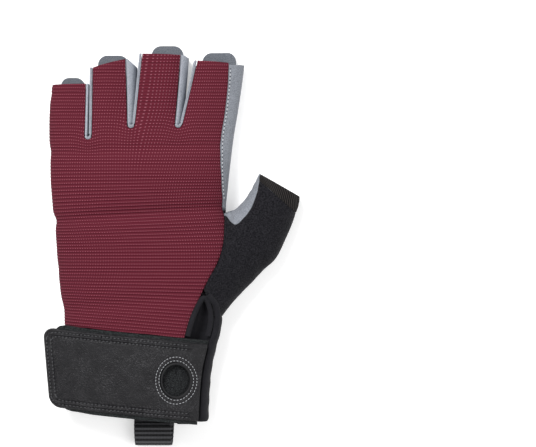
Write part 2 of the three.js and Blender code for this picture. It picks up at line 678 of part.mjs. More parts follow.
const pipingOff = pipingRadius + seamGap;
const pipingTop = ventAlong * handLength - pipingOff * 2.6;
const pipingLow = wristEdgeRight * handLength + pipingRadius;
const pipingPath = [0, 0.33, 0.67, 1, 1.5, 2, 2.33, 2.67, 3].map((step) => {
  const rise = step <= 1 ? step : step >= 2 ? 3 - step : 1;
  const y = mix(pipingLow, pipingTop, rise);
  const [left, right] = ventEdges(y);
  const [a, b] = [left + pipingOff, right - pipingOff];
  const x = mix(a, b, step <= 1 ? 0 : step >= 2 ? 1 : 0.5);
  const bulge = step === 1.5 ? (b - a) / 2 : 0;
  const point = skin(topAngle(x, y + bulge), y + bulge);
  return point.setZ(point.z - pipingRadius / 2);
});
const pipingRound = new THREE.Shape().absarc(0, 0, pipingRadius, 0, Math.PI * 2);
const piping = new THREE.ExtrudeGeometry(pipingRound, {
  steps: 24,
  curveSegments: 4,
  extrudePath: new THREE.CatmullRomCurve3(pipingPath),
});
add("vent_piping", solidOf(piping), blackStretch);

// Closure strap: leather from the fold across the back of the wrist, its free end past the wrist's side
const strapFall = Math.tan(THREE.MathUtils.degToRad(strapTilt));

function strapPoint(y, x) {
  const s = section(THREE.MathUtils.clamp(y, 0, wristEdgeLeft * handLength));
  const leave = s.centre - strapLift * s.half;
  const height = (at) => skin(topAngle(at, y), THREE.MathUtils.clamp(y, 0, wristEdgeLeft * handLength)).z;
  if (x >= leave) return new THREE.Vector3(x, y, height(x));
  const slope = height(leave + 1) - height(leave);
  return new THREE.Vector3(x, y, height(leave) - slope * (leave - x) * (1 + (leave - x) * strapCurl));
}

const strapSheet = (outward, inward) => {
  const place = (u, v) => {
    const x = mix(-strapReach - strapSlant / 2, read(FOLD_EDGE, "x", 0.12) * palmWidth + strapCorner, u);
    return [strapMiddle - strapFall * x + (v - 0.5) * (strapWidth + 6), x];
  };
  return thicken([patch(strapPoint, place, 26, 6)], outward, inward);
};
const strapEnd = [0, 0.25, 0.5, 0.75, 1].map((v) => {
  const y = strapMiddle - strapFall * palmWidth * 0.39 + (v - 0.5) * (strapWidth + 6);
  return [read(FOLD_EDGE, "x", Math.max(0, y / handLength)) * palmWidth - seamGap - foldProud, y];
});
const strapBlank = new wasm.CrossSection([[
  [-strapReach + strapSlant / 2 + strapCorner, -strapWidth / 2 + strapCorner],
  [palmWidth, -strapWidth / 2 + strapCorner],
  [palmWidth, strapWidth / 2 - strapCorner],
  [-strapReach - strapSlant / 2 + strapCorner, strapWidth / 2 - strapCorner],
]], "NonZero")
  .offset(strapCorner, "Round", 2, 24)
  .rotate(-strapTilt)
  .translate([0, strapMiddle]);
const strapRoot = new wasm.CrossSection([[[-palmWidth, -palmWidth], ...strapEnd, [-palmWidth, palmWidth]]], "NonZero");
const oval = (radius) => wasm.CrossSection.circle(radius, 30)
  .scale([1, eyeletStretch])
  .translate([eyeletX, eyeletY]);
const strapOutline = strapBlank.intersect(strapRoot).simplify(finest);
const tall = (shape) => shape.extrude(bodyHeight * 2);
const eyeletOuter = eyeletInner + eyeletWall;
const strapHole = oval(eyeletOuter + seamGap);
add(
  "strap",
  strapSheet(seamGap + strapLeather, -seamGap).intersect(tall(strapOutline.subtract(strapHole))),
  blackLeather,
);
add(
  "eyelet",
  strapSheet(seamGap + strapLeather + eyeletProud, -seamGap)
    .intersect(tall(oval(eyeletOuter).subtract(oval(eyeletInner)))),
  blackStretch,
);

// Ribbons across the cuff's lower edge: a route seen from the side, thickened and drawn out to a width
function ribbon(route, thickness, middle, width) {
  const points = new THREE.CurvePath();
  for (const curve of route) points.add(curve);
  const line = points.getPoints(8);
  const side = (way) => line.map((p, i) => {
    const a = line[Math.max(i - 1, 0)];
    const b = line[Math.min(i + 1, line.length - 1)];
    const tangent = b.clone().sub(a).normalize();
    return new THREE.Vector2(p.x - way * tangent.y, p.y + way * tangent.x);
  });
  const outline = [...side(thickness / 2), ...side(-thickness / 2).reverse()];
  const solid = new THREE.ExtrudeGeometry(new THREE.Shape(outline), { depth: width, bevelEnabled: false });
  solid.rotateY(Math.PI / 2).rotateX(Math.PI / 2).translate(middle - width / 2, 0, 0);
  return solidOf(solid);
}

const bandInner = (x, y) => skin(underAngle(x, y), y).z + bandElastic - bandProud + seamGap;

const line = (fromY, fromZ, toY, toZ) => new THREE.LineCurve(new THREE.Vector2(fromY, fromZ), new THREE.Vector2(toY, toZ));
const bend = (y, z, radius) => new THREE.EllipseCurve(y, z, radius, radius, -Math.PI / 2, Math.PI / 2, true);

// Pull loop: webbing under the cuff's whole width, round its end and back inside the cuff
const lowerLeg = webbingThickness / 2;
const webbingEnd = mix(bandLowRight, bandLowLeft, 0.55) * handLength - webbingDrop + webbingBend;
const innerLeg = bandInner(webbingMiddle + webbingWidth / 2, bandLowLeft * handLength) + webbingThickness / 2;
const webbing = [
  line(bandTopAlong * handLength, lowerLeg, webbingEnd, lowerLeg),
  bend(webbingEnd, lowerLeg + webbingBend, webbingBend),
  line(webbingEnd, lowerLeg + 2 * webbingBend, webbingEnd + 6, lowerLeg + 2 * webbingBend),
  line(webbingEnd + 6, lowerLeg + 2 * webbingBend, 0, innerLeg),
  line(0, innerLeg, 24, innerLeg),
];
add("pull_loop", ribbon(webbing, webbingThickness, webbingMiddle, webbingWidth), blackWebbing);

// Small tapes, each folded in two, with its ends inside the cuff
for (const [name, middle, width, drop] of [
  ["hang_loop", sideLoopAcross * palmWidth, sideLoopWidth, sideLoopDrop],
  ["side_tab", sideTabAcross * palmWidth, sideTabWidth, sideTabDrop],
]) {
  const edge = middle + Math.sign(middle) * (width / 2);
  const lowY = mix(bandLowLeft, bandLowRight, 0.5 + middle / palmWidth) * handLength;
  const level = bandInner(edge, lowY + sideTapeHold) + sideTape;
  const radius = sideTape / 2 + seamGap / 2;
  const end = lowY - drop + radius;
  const route = [
    line(lowY + sideTapeHold, level, end, level),
    bend(end, level + radius, radius),
    line(end, level + 2 * radius, lowY + sideTapeHold, level + 2 * radius),
  ];
  add(name, ribbon(route, sideTape, middle, width), blackWebbing);
}

const box = new THREE.Box3().setFromObject(glove);
const middle = box.getCenter(new THREE.Vector3());
glove.position.set(-middle.x, -middle.y, -box.min.z);

export default glove;
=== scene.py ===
import math

import bmesh
import bpy
import numpy as np
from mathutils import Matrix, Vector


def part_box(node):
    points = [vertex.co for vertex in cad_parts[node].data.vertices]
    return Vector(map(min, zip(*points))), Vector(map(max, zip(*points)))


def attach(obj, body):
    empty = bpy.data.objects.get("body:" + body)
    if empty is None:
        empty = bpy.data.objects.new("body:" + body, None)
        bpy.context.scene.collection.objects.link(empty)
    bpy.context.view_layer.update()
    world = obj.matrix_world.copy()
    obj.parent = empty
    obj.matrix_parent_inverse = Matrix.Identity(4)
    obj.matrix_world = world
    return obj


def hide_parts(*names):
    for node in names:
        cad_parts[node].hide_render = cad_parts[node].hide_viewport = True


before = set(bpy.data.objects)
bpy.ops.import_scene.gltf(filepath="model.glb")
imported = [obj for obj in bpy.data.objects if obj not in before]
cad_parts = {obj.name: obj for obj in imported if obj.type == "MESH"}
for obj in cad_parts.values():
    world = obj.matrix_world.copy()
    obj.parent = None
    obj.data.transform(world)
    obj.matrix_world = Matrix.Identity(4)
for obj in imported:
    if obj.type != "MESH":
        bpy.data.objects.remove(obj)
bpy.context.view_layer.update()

# Back of the hand: one piece of ribbed maroon stretch cloth over the hand and the four half fingers. Its
# ribs run across, it is sewn to the palm down both sides, and it creases where the knuckles bend.
# The glove's form is worked out in the hand's own frame, whose origin is on the wrist's middle line.
MM = 0.001
HAND = 0.2  # strap's lower edge to the middle finger's hem
PALM = 0.096  # across the knuckles
BODY = 0.029  # thickness of the empty glove
WEBBING_MIDDLE = 9.5 * MM
hand_x = sum(corner[0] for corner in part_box("pull_loop")) / 2 - WEBBING_MIDDLE
hand_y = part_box("strap_fold")[0][1] + 0.05 * MM
ORIGIN = np.array([hand_x, hand_y, 0.0])

SECTIONS = {
    "along": [0.0, 0.07, 0.15, 0.25, 0.3, 0.36, 0.43, 0.5, 0.545, 0.575, 0.64, 0.72, 0.78, 0.85, 0.92, 1.01],
    "left": [-0.33, -0.345, -0.372, -0.404, -0.415, -0.434, -0.448, -0.458, -0.466, -0.476, -0.481, -0.49,
             -0.497, -0.495, -0.478, -0.46],
    "right": [0.395, 0.4, 0.416, 0.466, 0.5, 0.546, 0.573, 0.563, 0.527, 0.511, 0.522, 0.54,
              0.556, 0.58, 0.602, 0.625],
    "top": [0.98, 1.02, 1.04, 1.02, 1.0, 0.99, 1.0, 1.0, 1.0, 1.0, 1.0, 0.95, 0.84, 0.73, 0.68, 0.65],
    "square": [2.4, 2.4, 2.4, 2.4, 2.4, 2.4, 2.4, 2.4, 2.4, 2.4, 2.4, 2.6, 2.8, 3.0, 3.0, 3.0],
}
BACK_EDGE = {
    "along": [0.2, 0.285, 0.348, 0.391, 0.4335, 0.48, 0.528, 0.57, 0.614, 0.6535, 0.716, 0.779, 0.8415,
              0.92, 1.0],
    "x": [0.262, 0.309, 0.372, 0.4156, 0.4646, 0.494, 0.504, 0.503, 0.493, 0.4854, 0.481, 0.4854, 0.505,
          0.522, 0.528],
}
FINGERS = [
    {"left": -0.474, "right": -0.287, "hem_left": 0.918, "hem_right": 0.922, "palm_right": -0.276,
     "palm_hem": 0.91, "tab": (-0.448, -0.296)},
    {"left": -0.246, "right": -0.062, "hem_left": 0.966, "hem_right": 0.989, "palm_left": -0.26,
     "palm_right": -0.001, "palm_hem": 0.966, "tab": (-0.222, -0.047)},
    {"left": 0.036, "right": 0.252, "hem_left": 1.004, "hem_right": 1.0, "palm_left": 0.022,
     "palm_right": 0.294, "palm_hem": 0.992, "tab": (0.085, 0.266)},
    {"left": 0.35, "right": 0.527, "hem_left": 0.985, "hem_right": 0.979, "palm_left": 0.326,
     "palm_hem": 0.973, "tab": (0.375, 0.578)},
]
SLOTS = [{"x": -0.271, "palm_x": -0.266, "along": 0.768}, {"x": -0.029, "palm_x": 0.006, "along": 0.799},
         {"x": 0.239, "palm_x": 0.266, "along": 0.8}]
FOLDS = [  # ends and half-width as shares of the hand, depth as one of the body, below 0 for a roll
    {"left": 0.548, "right": 0.585, "depth": 0.075, "width": 0.017},
    {"left": 0.655, "right": 0.665, "depth": -0.04, "width": 0.05},
    {"left": 0.735, "right": 0.752, "depth": 0.035, "width": 0.016},
    {"left": 0.3, "right": 0.36, "depth": 0.03, "width": 0.022},
]
SEAM_GAP = 0.15 * MM  # room between two pieces that are sewn together
LITTLE_SEAM = math.radians(196)  # place of the seam under the little finger's side
WRIST_LIFT = 3.3 * MM  # room under the cuff
WRIST_END = (0.27, 0.35)  # stretch along the hand over which the palm comes down to the table
SEAM_LEVEL = 0.4  # height of a section's widest place
UNDER_SQUARE = 3.5  # how square the underside is
FLATTENING = 1.2 * MM  # how far the underside would pass the table, where it lies flat
FINGER_CROWN = 2.2 * MM  # how far a finger's back falls to its seams
OUTER_CROTCH = 0.785  # where the outer sides of the hand turn into fingers
WRIST_EDGE = (0.2635, 0.229)  # the back's lower edge, at the little finger's side and at the thumb's
CLOTH = 1.4 * MM  # wall of the back, and of the panel under the strap


def smooth(x, low, high):
    """0 at low, 1 at high, with a soft start and end."""
    t = np.clip((np.asarray(x, float) - low) / (high - low), 0, 1)
    return t * t * (3 - 2 * t)


def mix(a, b, t):
    return a + (b - a) * t


def power(x, n):
    """x to the n, with its sign kept."""
    return np.sign(x) * np.abs(x) ** n


def bell(off, width):
    """1 in the middle, and next to nothing at twice the width from it."""
    return np.exp(-(off / width) ** 2)


def read(table, column, at, key="along"):
    """A column of a table, read along a smooth curve through its rows."""
    keys, values = np.array(table[key]), np.array(table[column])
    at = np.asarray(at, float)
    ends = np.clip(np.arange(len(keys)) + 1, 0, len(keys) - 1), np.clip(np.arange(len(keys)) - 1, 0, None)
    slopes = (values[ends[0]] - values[ends[1]]) / (keys[ends[0]] - keys[ends[1]])
    i = np.clip(np.searchsorted(keys, at, side="right") - 1, 0, len(keys) - 2)
    span = keys[i + 1] - keys[i]
    t = np.clip((at - keys[i]) / span, 0, 1)
    a, b = values[i], values[i + 1]
    ma, mb = slopes[i] * span, slopes[i + 1] * span
    return a + t * (ma + t * (3 * (b - a) - 2 * ma - mb + t * (2 * (a - b) + ma + mb)))


def section(y):
    """The hand's section: centre, half width, top, floor, level of its widest place, and squareness."""
    at = np.asarray(y, float) / HAND
    left, right = read(SECTIONS, "left", at) * PALM, read(SECTIONS, "right", at) * PALM
    floor = WRIST_LIFT * (1 - smooth(at, *WRIST_END))
    top = np.maximum(read(SECTIONS, "top", at) * BODY, floor + BODY / 2)
    seam, square = mix(floor, top, SEAM_LEVEL), read(SECTIONS, "square", at)
    return (left + right) / 2, (right - left) / 2, top, floor, seam, square


def skin(angle, y):
    """A point of the glove's outer surface. The angle runs round its section, from 0 at the thumb's side to
    a quarter turn on top."""
    centre, half, top, floor, seam, square = section(y)
    c, up = np.cos(angle), np.sin(angle)
    above = up >= 0
    n = np.where(above, 2 / square, 2 / UNDER_SQUARE)
    x = centre + half * power(c, n)
    high = seam + (top - seam) * np.abs(up) ** n
    low = np.maximum(floor, seam - (seam - floor + FLATTENING) * np.abs(up) ** n)
    return np.stack([x, y + 0 * x, np.where(above, high, low)], -1)


def unit(vectors):
    return vectors / np.maximum(np.linalg.norm(vectors, axis=-1, keepdims=True), 1e-12)


def share_across(x, y):
    centre, half = section(y)[:2]
    return np.clip((x - centre) / half, -0.995, 0.995)


def top_angle(x, y):
    return np.arccos(power(share_across(x, y), section(y)[5] / 2))


def under_angle(x, y):
    return 2 * math.pi - np.arccos(power(share_across(x, y), UNDER_SQUARE / 2))


def back_edge(y):
    return top_angle(read(BACK_EDGE, "x", y / HAND) * PALM, y)


def seam_angle(y):
    """The angle that a seam's gap takes up on the hand's side."""
    return SEAM_GAP * 2.5 / section(y)[1]


def slot_edge(f, edge, y, x_key, tips, hems, radius):
    """Where a finger's side runs beside its slot, from the slot's round end to the hem."""
    slot = SLOTS[f - 1 + edge]
    rise = y - slot["along"] * HAND
    opening = np.where(rise >= radius, radius, np.sqrt(np.maximum(0, radius**2 - (radius - rise) ** 2)))
    length = FINGERS[f][hems[edge]] * HAND - slot["along"] * HAND
    root = slot[x_key] * PALM + (-opening if edge else opening)
    return mix(root, FINGERS[f][tips[edge]] * PALM, rise / length * opening / radius)


BACK = {"x_key": "x", "tips": ("left", "right"), "hems": ("hem_left", "hem_right"), "radius": 2.1 * MM}
UNDER = {"x_key": "palm_x", "tips": ("palm_left", "palm_right"), "hems": ("palm_hem", "palm_hem"),
         "radius": 0.5 * MM}


def wrist_edge(x):
    """Where the back is sewn to the panel under the strap."""
    low = SECTIONS["left"][3]
    return mix(WRIST_EDGE[0], WRIST_EDGE[1], (x / PALM - low) / (BACK_EDGE["x"][0] - low)) * HAND


def finger_columns(side, starts, outer, angle, across, widest, body_rows, finger_rows):
    """Coordinates of the four finger columns, each an array of angle, y, place across and finger."""
    columns = []
    for f in range(4):
        lines = []
        for edge in (0, 1):
            slot = SLOTS[f - 1 + edge] if 0 <= f - 1 + edge < 3 else None
            crotch = (slot["along"] if slot else OUTER_CROTCH) * HAND
            hem = FINGERS[f][side["hems"][edge]] * HAND
            rise = np.linspace(0, 1, finger_rows + 1)[1:] ** 1.5
            y = np.concatenate([np.linspace(starts[f + edge], crotch, body_rows), mix(crotch, hem, rise)])
            lines.append((y, angle(slot_edge(f, edge, y, **side), y) if slot else outer(edge, y)))
        t = np.linspace(0, 1, across * (2 if f == widest else 1) + 1)
        (left_y, left_angle), (right_y, right_angle) = lines
        columns.append((
            mix(left_angle[:, None], right_angle[:, None], t), mix(left_y[:, None], right_y[:, None], t),
            np.broadcast_to(t, (len(left_y), len(t))), np.full((len(left_y), len(t)), f),
        ))
    return columns


def crown_fade(y, slot):
    """A finger's back starts to fall to its seams a little before its slot."""
    return smooth(y, slot["along"] * HAND - 6 * MM, slot["along"] * HAND + 12 * MM)


def fold_depth(x, y, centre, half):
    """How deep the folds across the back are here."""
    across = (x - centre) / half / 2 + 0.5
    total = 0
    for fold in FOLDS:
        off = y / HAND - mix(fold["left"], fold["right"], across)
        total = total + fold["depth"] * BODY * bell(off, fold["width"])
    return total


def back_skin(angle, y, t=None, finger=None):
    """The back's outer surface: the skin with its folds and with each finger crowned."""
    point = skin(angle, y)
    centre, half, top, _, seam, _ = section(y)
    share = smooth(angle, LITTLE_SEAM, math.pi - 0.3)
    depth = fold_depth(point[..., 0], y, centre, half)
    depth_z = depth * np.maximum(0, (point[..., 2] - seam) / (top - seam)) * share
    point[..., 2] -= depth_z
    depth = fold_depth(point[..., 0], y, centre, half)
    point[..., 0] += depth * 0.5 * (1 - np.abs(np.sin(angle))) * np.sign(centre - point[..., 0])
    if t is not None:
        for f in range(4):
            here = finger == f
            for side, near in ((f - 1, 1 - 2 * t), (f, 2 * t - 1)):
                if 0 <= side < 3:
                    crown = FINGER_CROWN * here * np.maximum(0, near) ** 2
                    point[..., 2] -= crown * crown_fade(y, SLOTS[side])
    return point


def normals(surface, a, b, *rest):
    """The way out of a surface, from a small step along each of its coordinates."""
    a_step, b_step = 1e-3, 2e-6
    by_a = surface(a + a_step, b, *rest) - surface(a - a_step, b, *rest)
    by_b = surface(a, b + b_step, *rest) - surface(a, b - b_step, *rest)
    return unit(np.cross(by_b, by_a))


def add_object(name, data):
    thing = bpy.data.objects.new(name, data)
    bpy.context.scene.collection.objects.link(thing)
    return thing


def finish_piece(name, points, faces, uvs, material, nodes):
    """Makes the object, with its texture coordinates in metres, and hands it to the frame."""
    mesh = bpy.data.meshes.new(name)
    mesh.from_pydata([tuple(p) for p in points], [], faces)
    layer = mesh.uv_layers.new(name="cloth")
    loops = np.array([loop.vertex_index for loop in mesh.loops])
    layer.data.foreach_set("uv", np.asarray(uvs, float)[loops].ravel())
    mesh.materials.append(material)
    piece = add_object(name, mesh)
    mesh.polygons.foreach_set("use_smooth", [True] * len(mesh.polygons))
    mesh.set_sharp_from_angle(angle=math.radians(50))
    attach(piece, "root")
    if nodes:
        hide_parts(*nodes)
    return piece


def run_length(points, axis):
    """Length along the rows or the columns of a grid of points, from 0."""
    steps = np.cumsum(np.linalg.norm(np.diff(points, axis=axis), axis=-1), axis)
    return np.concatenate([np.zeros_like(np.take(points[..., 0], [0], axis)), steps], axis)


def sheet(name, surface, patches, outward, inward, material, nodes, relief=None, uv=None):
    """A cloth wall: each patch is a grid on the surface, welded to its neighbours and thickened both ways.
    relief says how far the outer face is lifted at each place, in metres."""
    points, outs, coords, lifts, quads, start = [], [], [], [], [], 0
    for patch in patches:
        p, n = surface(*patch), normals(surface, *patch)
        rows, cols = p.shape[:2]
        if uv is None:
            u, v = run_length(p, 1), run_length(p, 0)
            u, v = u - u.mean(1, keepdims=True), np.broadcast_to(v.mean(1, keepdims=True), u.shape)
        else:
            u, v = uv(p, *patch)
        points.append(p.reshape(-1, 3))
        outs.append(n.reshape(-1, 3))
        coords.append(np.stack([u, v], -1).reshape(-1, 2))
        lifts.append((relief(p, u, v, *patch) if relief else np.zeros((rows, cols))).ravel())
        grid = np.arange(rows * cols).reshape(rows, cols) + start
        corners = grid[:-1, :-1], grid[:-1, 1:], grid[1:, 1:], grid[1:, :-1]
        quads.append(np.stack(corners, -1).reshape(-1, 4))
        start += rows * cols
    points, outs, coords, lifts, quads = map(np.concatenate, (points, outs, coords, lifts, quads))
    _, first, which = np.unique(np.round(points, 7), axis=0, return_index=True, return_inverse=True)
    which = which.ravel()
    points, coords, lifts = points[first], coords[first], lifts[first]
    summed = np.zeros_like(points)
    np.add.at(summed, which, outs)
    outs = unit(summed)
    quads = which[quads]
    corner = points[quads]
    turned_out = np.cross(corner[:, 2] - corner[:, 0], corner[:, 3] - corner[:, 1])
    if np.einsum("ij,ij->i", turned_out, outs[quads[:, 0]]).sum() < 0:
        quads = quads[:, ::-1]
    count = len(points)
    edges, faces = {}, []
    for quad in quads.tolist():
        ring = [v for k, v in enumerate(quad) if v != quad[k - 1]]
        if len(ring) < 3:
            continue
        faces.append(ring)
        faces.append([v + count for v in reversed(ring)])
        for k, v in enumerate(ring):
            edges[(ring[k - 1], v)] = True
    for a, b in edges:
        if (b, a) not in edges:
            faces.append([b, a, a + count, b + count])
    outer = points + outs * (outward + lifts)[:, None] + ORIGIN
    inner = points - outs * inward + ORIGIN
    both, uvs = np.concatenate([outer, inner]), np.concatenate([coords, coords])
    return finish_piece(name, both, faces, uvs, material, nodes)


class Wire:
    """A shader value. Arithmetic on it adds Math nodes to its finish."""

    def __init__(self, finish, socket):
        self.finish, self.socket = finish, socket

    def maths(self, operation, *values):
        return self.finish.node("Math", {"operation": operation}, *values)

    def __add__(self, other):
        return self.maths("ADD", self, other)

    def __sub__(self, other):
        return self.maths("SUBTRACT", self, other)

    def __rsub__(self, other):
        return self.maths("SUBTRACT", other, self)

    def __mul__(self, other):
        return self.maths("MULTIPLY", self, other)

    __radd__, __rmul__ = __add__, __mul__

    def between(self, low, high):
        settings = {"interpolation_type": "SMOOTHSTEP"}
        return self.finish.node("MapRange", settings, self, low, high)


class Finish:
    """A material, and the nodes that make it."""

    def __init__(self, name, roughness, sheen=0.0, specular=0.3):
        self.material = bpy.data.materials.new(name)
        self.material.use_nodes = True
        self.tree = self.material.node_tree
        self.shader = next(n for n in self.tree.nodes if n.type == "BSDF_PRINCIPLED")
        self.shader.inputs["Roughness"].default_value = roughness
        self.shader.inputs["Sheen Weight"].default_value = sheen
        self.shader.inputs["Sheen Roughness"].default_value = 0.5
        self.shader.inputs["Specular IOR Level"].default_value = specular

    def node(self, kind, settings=None, *values, output=0, **named):
        """Any node: its settings first, then the values or links of its sockets, by place or by name."""
        node = self.tree.nodes.new("ShaderNode" + kind)
        for key, value in (settings or {}).items():
            setattr(node, key, value)
        for key, value in [*enumerate(values), *((k.replace("_", " "), v) for k, v in named.items())]:
            if isinstance(value, Wire):
                self.tree.links.new(value.socket, node.inputs[key])
            elif value is not None:
                node.inputs[key].default_value = value
        return Wire(self, node.outputs[output])

    def cloth_uv(self):
        """The two texture coordinates, in millimetres."""
        uv = self.node("UVMap", {"uv_map": "cloth"})
        parts = self.node("SeparateXYZ", None, uv)
        return parts * 1000, Wire(self, parts.socket.node.outputs[1]) * 1000

    def noise(self, size_mm, detail=3.0, stretch=(1, 1, 1)):
        """A soft random pattern, from 0 to 1, with spots of about the given size."""
        where = self.node("TexCoord", None, output=3)
        where = self.node("Mapping", None, where, Scale=tuple(s / size_mm * 1000 for s in stretch))
        return self.node("TexNoise", None, Vector=where, Scale=1.0, Detail=detail)

    def wave(self, value, pitch):
        """A wave from 0 to 1 along a value in millimetres."""
        return self.node("Math", {"operation": "SINE"}, value * (2 * math.pi / pitch)) * 0.5 + 0.5

    def blend(self, mask, low, high):
        mixed = self.node("Mix", {"data_type": "RGBA"}, mask, output=2)
        node = mixed.socket.node
        for socket, value in ((node.inputs[6], low), (node.inputs[7], high)):
            if isinstance(value, Wire):
                self.tree.links.new(value.socket, socket)
            else:
                socket.default_value = (*value, 1)
        return mixed

    def to(self, socket, wire):
        self.tree.links.new(wire.socket, self.shader.inputs[socket])

    def colour(self, mask, low, high):
        self.to("Base Color", self.blend(mask, low, high))

    def bump(self, height, depth_mm):
        self.to("Normal", self.node("Bump", None, Strength=1.0, Distance=depth_mm * MM, Height=height))


RIB = 1.78  # pitch of the ribs, mm
WALE = 1.42  # pitch of the stitches along a rib, mm
CREASE_AT, CREASE_SLANT = 115.1, 0.028  # the knuckles' crease, mm along the hand, and how it slants
# A paler band over the knuckles: partly cloth paled by being pulled, partly a painted highlight for the light
# on their rise.
PULLED_AND_LIT_AT = 147.5  # a paler stretch, where the cloth is pulled over the knuckles, mm along the hand
# Colours of the ribbed cloth: painted shade in the grooves between the ribs, the cloth's own maroon on the
# ribs, and a painted highlight on the top of each stitch.
GROOVE_SHADOW, RIB_SHADE, STITCH_HIGHLIGHT = (0.006, 0.0003, 0.001), (0.07, 0.002, 0.006), (0.95, 0.38, 0.48)

ribbed = Finish("maroon ribbed stretch cloth", 0.9, specular=0.05)
across, along = ribbed.cloth_uv()
loose = ribbed.noise(9)
wander = (loose - 0.5) * 0.25
ribs = ribbed.wave(along + wander, RIB)
wales = ribbed.wave(across + wander * 0.5, WALE)
fuzz = ribbed.noise(0.5)
stitch = ribs.between(0.68, 0.98) * wales.between(0.6, 0.98)
# The grooves are painted dark as shade, then each stitch's top gets a painted highlight.
cloth = ribbed.blend(ribs.between(0.25, 0.75), GROOVE_SHADOW, RIB_SHADE)
cloth = ribbed.blend(stitch * (fuzz * 0.3 + 0.85), cloth, STITCH_HIGHLIGHT)
patchy = ribbed.noise(22)
cloth = ribbed.blend((patchy - 0.35) * 0.35, cloth, (0.03, 0.002, 0.007))
# The knuckles' crease is painted darker: painted shade where the fold's shadow falls.
crease = (along - across * CREASE_SLANT - CREASE_AT + (loose - 0.5) * 3).maths("ABSOLUTE").between(3.8, 0.2)
cloth = ribbed.blend(crease * 0.7, cloth, (0.016, 0.001, 0.004))
# Paler where the cloth is pulled over the knuckles, and also a painted highlight where their rise catches the
# light.
pulled = (along - PULLED_AND_LIT_AT + (loose - 0.5) * 5).maths("ABSOLUTE").between(5.5, 1.5)
cloth = ribbed.blend(pulled * 0.3, cloth, (0.25, 0.04, 0.065))
ribbed.to("Base Color", cloth)
ribbed.bump(ribs.between(0.0, 1.0) * 0.6 + stitch * 0.4 + fuzz * 0.15, 0.45)


def rib_bend(p):
    """How far the ribs leave their straight course: round the slots, by the strap and over the crease."""
    x, y = p[..., 0], p[..., 1]
    bend = 0
    for slot in SLOTS:
        near = bell(x - slot["x"] * PALM, 5 * MM) * bell(y - slot["along"] * HAND, 7 * MM)
        bend = bend + 1.6 * MM * near
    bend = bend + 0.085 * x * (1 - smooth(y, 48 * MM, 84 * MM))
    return bend - 0.045 * x * bell(y - 113 * MM, 16 * MM)


MID_PALM = 0.55 * HAND  # the ribs' length is measured round the hand here
arc_angles = np.linspace(0.3, LITTLE_SEAM + 0.05, 400)
arc_lengths = run_length(skin(arc_angles, np.full(400, MID_PALM)), 0)


def rib_uv(p, angle, y, *rest):
    arc = np.interp(angle, arc_angles, arc_lengths) * section(y)[1] / section(MID_PALM)[1]
    return -arc, y + rib_bend(p)


def back_relief(p, u, v, angle, y, t, finger):
    """Soft waves, turned hems, a sunk edge along the index finger's side, and the ribs themselves."""
    rng = np.random.default_rng(7)
    lift = np.zeros_like(y)
    for _ in range(26):
        x0, y0 = rng.uniform(-45, 45) * MM, rng.uniform(58, 190) * MM
        size, tilt = rng.uniform(0.12, 0.3) * MM * rng.choice([-1, 1]), rng.uniform(-0.15, 0.15)
        dx, dy = p[..., 0] - x0, y - y0 - tilt * (p[..., 0] - x0)
        lift += size * bell(dx, 20 * MM) * bell(dy, 3.2 * MM)
    hem = np.select([finger == f for f in range(4)],
                    [mix(FINGERS[f]["hem_left"], FINGERS[f]["hem_right"], t) * HAND for f in range(4)])
    from_hem = hem - y
    lift += 0.25 * MM * smooth(from_hem, 5 * MM, 3.4 * MM) * smooth(from_hem, 0.2 * MM, 1.2 * MM)
    edge = np.abs(back_edge(y) - angle) * 45 * MM
    lift -= 0.35 * MM * bell(edge, 1.2 * MM)
    return lift + 0.1 * MM * np.sin(v / MM * 2 * math.pi / RIB)


def back_side(edge, y):
    return back_edge(y) if edge else np.full_like(y, LITTLE_SEAM)


column_ends = (SECTIONS["left"][3], *(slot["x"] for slot in SLOTS), BACK_EDGE["x"][0])
back_columns = finger_columns(BACK, [wrist_edge(x * PALM) for x in column_ends], back_side, top_angle, 24, 0,
                              body_rows=270, finger_rows=110)
sheet("back_of_hand", back_skin, back_columns, 0, CLOTH, ribbed.material, ["back_panel"],
      relief=back_relief, uv=rib_uv)

# Palm: padded grey suede under the hand and fingers, wrapped up the index finger's side. Sewn lines quilt
# its padding, and a second layer covers the web of the thumb.
BAND_TOP = 0.278  # where the palm is sewn to the cuff's elastic
PALM_CLOTH = 2.4 * MM
CROTCH = 0.582  # where the thumb's opening ends and the palm meets the back again
QUILT_PITCH = 2.4 * MM  # of its stitches, and of the web patch's
WEB_PATCH = [(0.17, 0.595), (0.125, 0.65), (0.17, 0.695), (0.42, 0.785), (0.45, 0.77), (0.45, 0.66),
             (0.42, 0.61), (0.385, 0.597), (0.34, 0.6)]
QUILTING = {  # sewn lines on the palm, in millimetres of the hand's frame
    "outer quilt": [(21.5, 142.4), (-18, 142.4), (-30.9, 139.4), (-33.7, 131.6), (-34.8, 107.9)],
    "inner quilt": [(12, 131.5), (-19.1, 129.8), (-23.2, 125.3), (-24.7, 115.2), (-25, 106.1), (-21.3, 101.1),
                    (2, 101.6), (26.5, 102.9)],
    "middle wedge": [(12, 121), (1, 117.5), (-14, 111.6), (8.3, 111.6), (26, 112.6)],
    "heel": [(-29.6, 76.4), (-20.9, 74.1), (-0.8, 73.7), (8.3, 76.4), (17.4, 86.5), (24.7, 95.6),
             (28.8, 102.9)],
    "thumb pad": [(-34.6, 65.9), (-19.1, 64.6), (-4.5, 61.8), (8.3, 61.7), (16.5, 64.6), (22, 70.5),
                  (34, 88.3)],
    "thumb pad inside": [(16.5, 86.3), (23.8, 96.1), (29.3, 99.7)],
    "little base": [(-36.9, 155.8), (-32.7, 160.4), (-28.2, 154)],
    "ring base": [(-16.3, 156.3), (-10.4, 166.6), (-2.6, 159.5)],
    "middle base": [(5.6, 159.9), (13.8, 169.8), (22, 160.8)],
}


